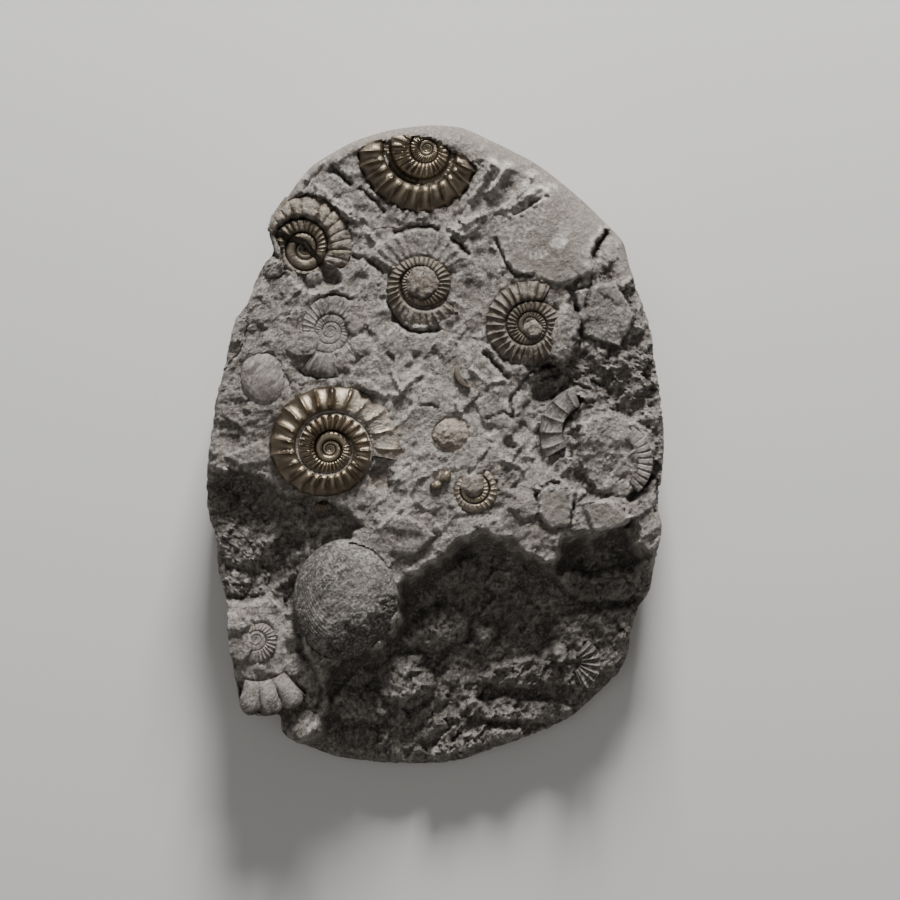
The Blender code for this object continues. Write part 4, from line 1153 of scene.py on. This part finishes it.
class PLATE_OT_rock(bpy.types.Operator):
    """Builds the slab of mudstone: split face, rough side and sawn back"""
    bl_idname = "plate.rock"
    bl_label = "Rock slab"

    def execute(self, context):
        settings = context.scene.fossil_plate
        rings = settings.side_rings
        made, _ = add_grid("rock_slab", settings.cells_across, settings.cells_along)
        bpy.ops.object.mode_set(mode="EDIT")
        select_open_edges()
        for _ in range(rings):
            bpy.ops.mesh.extrude_region_move(TRANSFORM_OT_translate={"value": (0, 0, -1)})
        bpy.ops.mesh.edge_face_add()
        bpy.ops.object.mode_set(mode="OBJECT")
        write_places(made, self.wrap(made, read_places(made), rings) * MM)
        finish_mesh()
        made.data.materials.append(rock_material(settings))
        ride_and_replace(made, "matrix")
        return {"FINISHED"}

    def wrap(self, made, places, rings):
        """Turns the square grid and its rings into the slab."""
        u, v, ring = places[:, 0], places[:, 1], np.round(-places[:, 2])
        x, y, from_middle = self.spread(u, v, ring / rings)
        face = ring == 0
        height = np.zeros(x.shape)
        bare = rock_height(x[face], y[face])
        rough = roughness_at(x[face], y[face])
        height[face] = make_room(x[face], y[face], bare - rim_fall(x[face], y[face]))
        rim = face & (from_middle > 0.9999)
        lookup = {(round(float(a), 4), round(float(b), 4)): h
                  for a, b, h in zip(u[rim], v[rim], height[rim])}
        side = ~face
        top = np.array([lookup[(round(float(a), 4), round(float(b), 4))]
                        for a, b in zip(u[side], v[side])])
        share = ring[side] / rings
        tuck = SIDE_TUCK * share ** 2.2 + FOOT_BEVEL * (share > 0.96)
        sx, sy, sz = x[side], y[side], top * (1 - share)
        dent = self.side_dents(sx, sy, sz)
        fade = smooth_step(share * 8.0)
        reach = (1 - tuck) - DENT_SHARE * fade * np.clip(dent, -0.1, 2.6)
        self.tones(made, x, y, bare, face, rough, dent * fade)
        x[side], y[side], height[side] = sx * reach, sy * reach, sz
        return np.column_stack((x, y, height))

    def spread(self, u, v, share):
        """Spreads the square to the outline, chipped near the top where the rim isn't worn."""
        disc_x, disc_y = square_to_disc(u, v)
        x, y = disc_x * HALF_WIDTH, disc_y * HALF_LENGTH
        edge = smooth_outline(OUTLINE, 4)
        edge_angle = np.arctan2(edge[:, 1], edge[:, 0])
        order = np.argsort(edge_angle)
        angle = np.arctan2(y, x)
        oval = 1 / np.hypot(np.cos(angle) / HALF_WIDTH, np.sin(angle) / HALF_LENGTH)
        reach = np.interp(angle, edge_angle[order], np.hypot(edge[:, 0], edge[:, 1])[order],
                          period=2 * math.pi)
        edge_x, edge_y = reach * np.cos(angle), reach * np.sin(angle)
        worn = np.interp(np.degrees(angle), (30, 45, 125, 140), (1.0, 0.0, 0.0, 1.0))
        jag = cloud(edge_x, edge_y, np.zeros(angle.shape), 5.0, 111, 4, 0.7)
        near_top = 1 - smooth_step(share * 4.0)
        reach = reach - 0.5 - worn * near_top * 0.8 * np.clip(jag + 0.3, 0.0, 1.2)
        from_middle = np.hypot(disc_x, disc_y)
        stretch = 1 + (reach / oval - 1) * from_middle ** 3
        return x * stretch, y * stretch, from_middle

    def side_dents(self, x, y, z):
        """Depth of the dents in the broken side, as a share of a full one."""
        dent = 0.8 + 0.8 * cloud(x, y, z, 14.0, 71, 5, 0.6)
        along_side = np.arctan2(y, x) * EDGE_RADIUS
        dent += 1.3 * scoops(along_side + z * 0.6, z * 1.6, 13.0, 81, 1.0, 0.5)
        dent += 0.6 * scoops(along_side - z * 0.4, z * 1.3, 5.0, 85, 1.2, 0.4)
        return dent

    def tones(self, made, x, y, bare, face, rough, dent):
        """Stores where the rock is bruised pale with a painted highlight, where painted shade lies in
        its pits and hollows, and where it is worn smooth.
        """
        flat = np.zeros(int(face.sum()))
        fx, fy = x[face], y[face]
        columns = bpy.context.scene.fossil_plate.cells_across + 1
        grid = bare.reshape(-1, columns)
        convex = grid - blur(grid, 2)
        broad = grid - blur(grid, 9)
        # Pale edges: bruised powder and a painted highlight on convex crests, weaker over the broken
        # rubble; pale seams, white spots and ghost ribs join it
        pale_edge_and_highlight = np.clip((convex - 0.08) / 0.4, 0, 1)
        streak = cloud((fx + fy) * 0.3, (fy - fx), flat, 8.0, 91, 4)
        pale_edge_and_highlight = pale_edge_and_highlight.ravel() * (0.75 + 0.9 * np.clip(streak, -0.5, 0.5))
        pale_edge_and_highlight = pale_edge_and_highlight * (1.0 - 0.45 * broken_share(fx, fy))
        pale_edge_and_highlight = np.maximum(pale_edge_and_highlight, line_tone(fx, fy, SEAMS, 2.8))
        middle = np.clip(1.25 - np.hypot((fx + 2.0) / 52.0, (fy - 6.0) / 46.0), 0, 1)
        powder = (0.25 + 0.75 * middle) * np.clip(0.65 + 1.2 * streak, 0, 1) * (0.2 + 0.8 * rough)
        broken = broken_share(fx, fy)
        # Painted shade: darker in broad hollows, small pits and cracks, over the broken foot, rubble and
        # lower left, and in deep dents of the side
        painted_shade = (0.42 + 0.28 * broken) * np.clip((-broad - 0.3) / 2.4, 0, 1).ravel()
        pits = np.clip((-convex - 0.12) / 0.45, 0, 1).ravel()
        painted_shade = np.maximum(painted_shade + 0.22 * broken, (0.15 + 0.7 * broken) * pits)
        painted_shade = np.maximum(painted_shade, line_tone(fx, fy, CRACKS, 0.9))
        skin = np.maximum(1.0 - rough, spot_tone(fx, fy, BEIGE_SPOTS))
        pale_edge_and_highlight = np.maximum(pale_edge_and_highlight, spot_tone(fx, fy, WHITE_SPOTS))
        pale_edge_and_highlight = np.maximum(pale_edge_and_highlight, ghost_rib_highlight(fx, fy))
        for name, on_face, on_side in (
                ("edge", pale_edge_and_highlight, np.clip(0.25 - dent, 0, 0.4)),
                ("painted_shade", painted_shade, np.clip(dent - 0.9, 0, 0.7)), ("skin", skin, 0.45),
                ("powder", powder, 0.0), ("rust", spot_tone(fx, fy, RUST_SPOTS), 0.0)):
            whole = np.zeros(x.shape)
            whole[face] = np.clip(on_face, 0, 1)
            whole[~face] = on_side
            write_tone(made, name, whole)


def blur(grid, reach):
    """Averages each cell of a table with its neighbours, one way and then the other."""
    size = 2 * reach + 1
    padded = np.pad(grid, reach, mode="edge")
    for _ in range(2):
        total = np.insert(np.cumsum(padded, axis=0), 0, 0.0, axis=0)
        padded = ((total[size:] - total[:-size]) / size).T
    return padded


class PLATE_OT_coils(bpy.types.Operator):
    """Builds the coiled ammonites"""
    bl_idname = "plate.coils"
    bl_label = "Coiled ammonites"

    def execute(self, context):
        for node, coil in COILS.items():
            self.build(node, coil)
        return {"FINISHED"}

    def build(self, node, coil):
        first, last = FIRST_QUARTER, coil["end"]
        large = max(coil["radii"]) > LARGE_COIL
        per_turn, rows = (400, 20) if large else (300, 16)
        columns = round((last - first) / 4 * per_turn)
        step = 4.0 / per_turn
        made, places = add_grid("shell_" + node, columns, rows)
        quarter = last - step * np.round((1 - places[:, 0]) / 2 * columns)
        share = (places[:, 1] + 1) / 2
        wrapped, tones = self.wind(coil, quarter, share)
        for name, values in tones.items():
            write_tone(made, name, values)
        write_places(made, wrapped * MM)
        if "keep" in coil:
            outside = depth_in(wrapped[:, 0], wrapped[:, 1], coil["keep"]) < -1.8
            select_where(made, outside)
            bpy.ops.mesh.delete(type="VERT")
        else:
            bpy.ops.object.mode_set(mode="EDIT")
        bpy.ops.mesh.select_all(action="SELECT")
        bpy.ops.mesh.remove_doubles(threshold=WELD_DISTANCE)
        hub_reach = float(coil_radius(coil, first)) * 1.2
        close_below(made, coil["base"], (coil["at"], hub_reach))
        dress(made, node)

    def wind(self, coil, quarter, share):
        """Places and tones for a strip of whorl wound into a coil."""
        form = self.form(coil, quarter, share)
        outer = coil_radius(coil, quarter)
        inner = coil_radius(coil, quarter - 4)
        width = outer - inner
        width_before = inner - coil_radius(coil, quarter - 8)
        outer_lobe = 0.03 * width * form.rib * form.free * (1 - form.crushed) * share ** 4
        radius = inner + width * share + outer_lobe
        angle = math.radians(coil["start"]) + coil["hand"] * quarter * QUARTER
        x = coil["at"][0] + radius * np.cos(angle)
        y = coil["at"][1] + radius * np.sin(angle)
        still = np.zeros(x.shape)
        thick = coil["swell"] * width
        foot_inner = 0.55 * coil["swell"] * width_before
        foot_outer = thick * (0.45 - 0.85 * form.free)
        height = coil["seat"] + foot_inner * (1 - share) + foot_outer * share
        height += thick * form.arch * (1 - 0.5 * form.crushed) * (1 - coil["relief"] * 0.5)
        height += thick * coil["relief"] * form.crest * (1 - 0.4 * form.crushed)
        height += form.crushed * 0.35 * cloud(x, y, still, 2.5, 17, 4, 0.7)
        height += 0.05 * cloud(x, y, still, 1.8, 19, 3) * smooth_step(width / 3)
        gap_depth = coil["crevice"][2]
        height -= form.opened * gap_depth * np.sqrt(np.clip(np.sin(math.pi * form.gap), 0, 1))
        gravel = form.opened * (form.gap < 1) * np.sin(math.pi * form.gap)
        if "wall" in coil:
            crescent = self.crescent(coil, quarter, form.gap)
            height += 1.8 * crescent
            gravel = gravel * (1 - crescent)
        height += gravel * 0.55 * cloud(x, y, still, 1.2, 27, 3, 0.7)
        crack_and_shadow = still
        if "keep" in coil:
            depth = depth_in(x, y, coil["keep"])
            height -= 1.0 * (1 - smooth_step(depth / 2.2)) + 6.0 * smooth_step(-depth / 1.4)
        if "break_line" in coil:
            height, crack_and_shadow = self.snap(coil, x, y, height)
        patchy = 0.5 + 0.9 * cloud(x, y, still, 4.0, 23, 4, 0.65)
        tones = self.tones(coil, quarter, share, form, patchy, gravel, crack_and_shadow)
        return np.column_stack((x, y, height)), tones

    def form(self, coil, quarter, share):
        """Shares along the strip: its free last turn, its gap, and the arch and ribs of its body."""
        begin, gap_share, _ = coil["crevice"]
        free = smooth_step((quarter - (coil["end"] - 4)) / 0.4)
        opened = smooth_step((quarter - begin) / 0.5)
        edge = np.maximum(gap_share * opened, 1e-4)
        body = np.clip((share - edge) / (1 - edge), 0, 1)
        core = 1 - smooth_step((quarter - coil["plain"]) / 1.2)
        arch = np.sqrt(np.clip(1 - np.abs(2 * body ** 0.85 - 1) ** (2.3 - 0.2 * core), 0, 1))
        rib = self.rib(coil, quarter, share)
        window = smooth_step(body / 0.2) * (1 - (1 - free) * smooth_step((share - 0.8) / 0.2))
        return SimpleNamespace(
            free=free, opened=opened, gap=np.clip(share / edge, 0, 1), body=body,
            arch=arch * (1 + 0.45 * core), rib=rib,
            crest=rib * window * smooth_step((quarter - coil["plain"]) / 0.9),
            crushed=smooth_step((quarter - coil["crush"]) / 0.7))

    def tones(self, coil, quarter, share, form, patchy, gravel, crack_and_shadow):
        """Where the strip is polished, where a painted highlight and painted seam shade fall on it,
        where brown fill and a painted shadow along the break lie in it, and where stone lies on it.
        """
        begin, _, gap_depth = coil["crevice"]
        stone = np.clip(form.crushed * (0.3 + 0.6 * patchy) - 0.5 * form.crest, 0, 1)
        stone = np.maximum(stone, np.clip(coil["stone"] * (0.3 + 0.9 * form.free) * patchy, 0, 1))
        if gap_depth < 0:
            lip = smooth_step((share - 0.92) / 0.05) * smooth_step((quarter - begin + 4) / 0.5)
            filled = np.maximum(form.opened * (form.gap < 1), lip * (1 - form.free))
            stone = np.maximum(stone, filled)
            # The share along the break is a painted shadow band
            clay_and_shade = crack_and_shadow
        else:
            clay_and_shade = np.maximum(crack_and_shadow, gravel * 0.2)
        # Painted shade at the seams between turns, and a painted highlight on the whorl tops and rib
        # crests
        clear_of_seam_shade = smooth_step(form.body / 0.12)
        clear_of_seam_shade = clear_of_seam_shade * (1 - 0.8 * (1 - form.free) * smooth_step((form.body - 0.86) / 0.14))
        crest = (0.35 + 0.35 * form.arch + 0.5 * form.crest) * (0.45 + 0.55 * clear_of_seam_shade)
        crest = np.maximum(np.clip(crest, 0, 1), 0.55 * gravel)
        return {"crest": crest, "clay_and_shade": clay_and_shade, "stone": stone}

    def rib(self, coil, quarter, share):
        """Height of the ribs, a little uneven, with wide lobes on a bulging last turn."""
        table = np.array(coil["ribs"], float)
        steps = np.linspace(-14, 16, 3001)
        count = np.cumsum(np.interp(steps, table[:, 0], table[:, 1])) * (steps[1] - steps[0])
        phase = np.interp(quarter, steps, count)
        none = np.zeros(quarter.shape)
        uneven = waves(phase, none, none, 2.6, 83)
        phase = phase + 0.4 * (share - 0.5) ** 2 - 0.12 * share + 0.16 * uneven
        rib = rib_form(phase) * (1 + 0.3 * waves(phase, none, none, 1.3, 85))
        if "lobed" in coil:
            wide = smooth_step((quarter - coil["lobed"]) / 0.6)
            rib += wide * (0.6 * np.abs(np.sin(math.pi * phase)) ** 0.4 - rib)
        return rib

    def crescent(self, coil, quarter, gap):
        """Share of the broken wall that stands up in the gap between two turns."""
        low, high = coil["wall"]
        share = np.clip(np.sin(math.pi * (quarter - low) / (high - low)), 0, 1)
        share = share * (quarter > low) * (quarter < high)
        return share ** 0.5 * np.exp(-((gap - 0.5) / 0.16) ** 2)

    def snap(self, coil, x, y, height):
        """Sinks the side of a coil that lies below and left of its break."""
        line = coil["break_line"]
        gap = distance_to_line(x, y, line)
        level = np.interp(x, [p[0] for p in line], [p[1] for p in line])
        below = np.where(y < level, gap, -gap)
        height = height - 1.6 * smooth_step(0.5 + below / 0.7)
        wide = 1.0 + 2.4 * smooth_step((x + 48.0) / 7.0)
        below = below + 0.7 * cloud(x, y, np.zeros(x.shape), 4.0, 87, 3)
        # Along the break a groove is cut, and its share is also painted dark as a shadow band
        crack_and_shadow = smooth_step(1.5 - np.abs(below - wide) / wide)
        return height - 2.2 * crack_and_shadow, crack_and_shadow


def rib_form(phase):
    """Thin crests at whole numbers with wide concave spaces between them."""
    fall = np.abs(np.sin(math.pi * phase))
    return 0.5 * (1 - fall) + 0.5 * (1 - fall) ** 3


class PLATE_OT_whorls(bpy.types.Operator):
    """Builds the broken stretches of whorl"""
    bl_idname = "plate.whorls"
    bl_label = "Broken whorls"

    def execute(self, context):
        for node, arc in WHORL_ARCS.items():
            self.build(node, arc)
        return {"FINISHED"}

    def build(self, node, arc):
        columns = max(60, arc["ribs"] * 18)
        made, places = add_grid("shell_" + node, columns, 24)
        along, share = (places[:, 0] + 1) / 2, (places[:, 1] + 1) / 2
        sweep, inner, outer = (arc[key][0] + (arc[key][1] - arc[key][0]) * along
                               for key in ("sweep", "inner", "outer"))
        angle, width = np.radians(sweep), outer - inner
        if arc["form"] == "smooth":
            taper = np.sqrt(np.clip(np.sin(math.pi * along), 0.02, 1))
            inner, width = inner + width * (1 - taper) * 0.5, width * taper
        if arc["form"] == "lobes":
            width = width * (0.72 + 0.28 * np.sqrt(np.clip(along / 0.16, 0, 1)))
        phase = along * arc["ribs"] + 0.2 * (share - 0.5) ** 2
        arch = np.sqrt(np.clip(1 - np.abs(2 * share - 1) ** 2.3, 0, 1))
        rib = self.rib(arc["form"], phase)
        bulge = 0.17 * width * (rib - 0.7) * share ** 4 if arc["form"] == "lobes" else 0.0
        radius = inner + width * share + bulge
        x = arc["at"][0] + radius * np.cos(angle)
        y = arc["at"][1] + radius * np.sin(angle)
        still = np.zeros(x.shape)
        thick = arc["swell"] * width
        height = arc["seat"] + thick * (0.3 + 0.5 * arch + 0.6 * rib * (0.35 + 0.65 * share))
        height += 0.1 * cloud(x, y, still, 2.5, 31, 5, 0.7)
        # Painted highlight on the tops of the whorl and its ribs; painted shade in the gaps between
        # lobes and grooves, and an even darker brown all over a smooth sliver
        write_tone(made, "crest", np.clip(0.2 * arch + 0.7 * rib * arch, 0, 1))
        write_tone(made, "clay_and_shade", np.clip((0.25 - rib) * 2.2, 0, 0.8) * (arc["form"] != "crests"))
        write_tone(made, "stone", still)
        write_places(made, np.column_stack((x, y, height)) * MM)
        close_below(made, arc["base"])
        dress(made, node)

    def rib(self, form, phase):
        """Height of the ribs: thin crests, wide lobes, lobes with short grooves, or none."""
        if form == "crests":
            return rib_form(phase - 0.5)
        if form == "smooth":
            return np.zeros(phase.shape)
        if form == "lobes":
            return np.abs(np.sin(math.pi * phase)) ** 0.55
        away = np.abs(phase - np.round(phase))
        deep = smooth_step((phase - 2.6) / 1.2)
        return 1 - (0.25 + 0.75 * deep) * (1 - smooth_step(away / 0.26))


class PLATE_OT_shells(bpy.types.Operator):
    """Builds the smooth bivalves and the pyrite beads"""
    bl_idname = "plate.shells"
    bl_label = "Bivalves and beads"

    def execute(self, context):
        for node, shell in SHELLS.items():
            self.build(node, shell)
        return {"FINISHED"}

    def build(self, node, shell):
        made, places = add_grid("shell_" + node, shell["cells"], shell["cells"])
        disc_x, disc_y = square_to_disc(places[:, 0], places[:, 1])
        out = np.clip(np.hypot(disc_x, disc_y), 1e-6, 1)
        lean = np.sin(out * QUARTER) / out
        c, s = math.cos(math.radians(shell["turn"])), math.sin(math.radians(shell["turn"]))
        along = shell["half"][0] * disc_x * lean * (1 + 0.06 * disc_y)
        across = shell["half"][1] * disc_y * lean
        x = shell["at"][0] + along * c - across * s
        y = shell["at"][1] + along * s + across * c
        still = np.zeros(x.shape)
        side, tall = disc_x * lean, disc_y * lean
        form = np.clip(np.cos(out * QUARTER), 0, 1) ** shell["full"]
        far = np.hypot(disc_x, (disc_y - 0.9) * 0.62)
        groove = np.sin(2 * math.pi * shell["lines"] * far + 1.6 * cloud(x, y, still, 9.0, 41, 3))
        flank, clump = still, still
        if node == "bivalve_large":
            flank = smooth_step((-side - 0.38 + 0.15 * cloud(x, y, still, 18.0, 51, 2)) / 0.3)
            form = form * (1 - 0.2 * flank)
            clump = smooth_step((side - tall - 0.62 + 0.3 * cloud(x, y, still, 8.0, 53, 3)) / 0.3)
            form = form * (1 - 0.14 * clump)
        height = shell["seat"] + shell["rise"] * 0.96 * form
        lined = smooth_step((-side - 0.02) / 0.45)
        height += shell["line_depth"] * groove * smooth_step(out * 2) * (0.25 + lined)
        ripple = cloud(x, y, still, 0.14 * shell["half"][0] + 1.2, 43, 5, 0.65)
        height += shell["rough"] * ripple * (1 - 0.5 * flank)
        height += clump * 1.0 * scoops(x, y, 5.0, 57)
        height += clump * 0.9 * cloud(x, y, still, 2.4, 59, 3, 0.8)
        height += 0.12 * shell["rough"] * cloud(x, y, still, 1.4, 47, 3, 0.8)
        # Painted highlight on the raised ripples and painted shade on the steep flank; the clumps are
        # darker rock
        write_tone(made, "crest", np.clip(0.35 + 0.35 * ripple - 0.35 * flank - 0.3 * clump, 0, 1))
        write_tone(made, "clay_and_shade", np.clip(0.25 * flank + 0.35 * clump, 0, 1))
        write_tone(made, "stone", still)
        write_places(made, np.column_stack((x, y, height)) * MM)
        close_below(made, shell["base"])
        dress(made, node)


class PLATE_OT_stage(bpy.types.Operator):
    """Sets the pale floor, the soft lights and the camera over the face"""
    bl_idname = "plate.stage"
    bl_label = "Floor, lights and camera"

    def execute(self, context):
        settings = context.scene.fossil_plate
        nothing_selected()
        bpy.ops.mesh.primitive_plane_add(size=6.0, location=(0, 0, -0.0002))
        floor = context.object
        floor.name = "pale_floor"
        paint = Paint("pale_floor")
        colour = tuple(settings.floor_colour)
        paint.coat({"Base Color": paint.mix(paint.noise(3.0, 2.0), colour, tinted(colour, 0.97)),
                    "Roughness": 0.9})
        floor.data.materials.append(paint.material)
        self.light("key_beyond_head", settings.key_power, **KEY_LIGHT)
        self.light("fill_overhead", settings.key_power * FILL_SHARE, **FILL_LIGHT)
        world = bpy.data.worlds.new("soft_room")
        world.use_nodes = True
        room = world.node_tree.nodes["Background"].inputs
        room["Color"].default_value = DAYLIGHT
        room["Strength"].default_value = ROOM_STRENGTH
        context.scene.world = world
        bpy.ops.object.camera_add(location=CAMERA_PLACE, rotation=(0, 0, 0))
        camera = context.object
        camera.name = "camera_over_face"
        camera.data.lens = CAMERA_LENS
        context.scene.camera = camera
        return {"FINISHED"}

    def light(self, name, power, place, target, size):
        bpy.ops.object.light_add(type="AREA", location=place)
        made = bpy.context.object
        made.name = name
        made.data.size = size
        made.data.energy = power
        way = np.array(target) - np.array(place)
        made.rotation_euler = (math.acos(-way[2] / np.linalg.norm(way)), 0.0,
                               math.atan2(way[1], way[0]) - QUARTER)


class PLATE_PT_panel(bpy.types.Panel):
    """Lists the parts of the plate"""
    bl_idname = "PLATE_PT_panel"
    bl_label = "Fossil plate"
    bl_space_type = "VIEW_3D"
    bl_region_type = "UI"
    bl_category = "Fossil Plate"

    def draw(self, context):
        settings = context.scene.fossil_plate
        for name in PlateSettings.__annotations__:
            self.layout.prop(settings, name)
        for operator in OPERATORS:
            self.layout.operator(operator.bl_idname)


OPERATORS = (PLATE_OT_rock, PLATE_OT_coils, PLATE_OT_whorls, PLATE_OT_shells, PLATE_OT_stage)
CLASSES = (PlateSettings, *OPERATORS, PLATE_PT_panel)


def register():
    for item in CLASSES:
        bpy.utils.register_class(item)
    bpy.types.Scene.fossil_plate = bpy.props.PointerProperty(type=PlateSettings)


def unregister():
    del bpy.types.Scene.fossil_plate
    for item in reversed(CLASSES):
        bpy.utils.unregister_class(item)


def main():
    register()
    bpy.ops.plate.rock()
    bpy.ops.plate.coils()
    bpy.ops.plate.whorls()
    bpy.ops.plate.shells()
    bpy.ops.plate.stage()


if __name__ == "__main__":
    main()
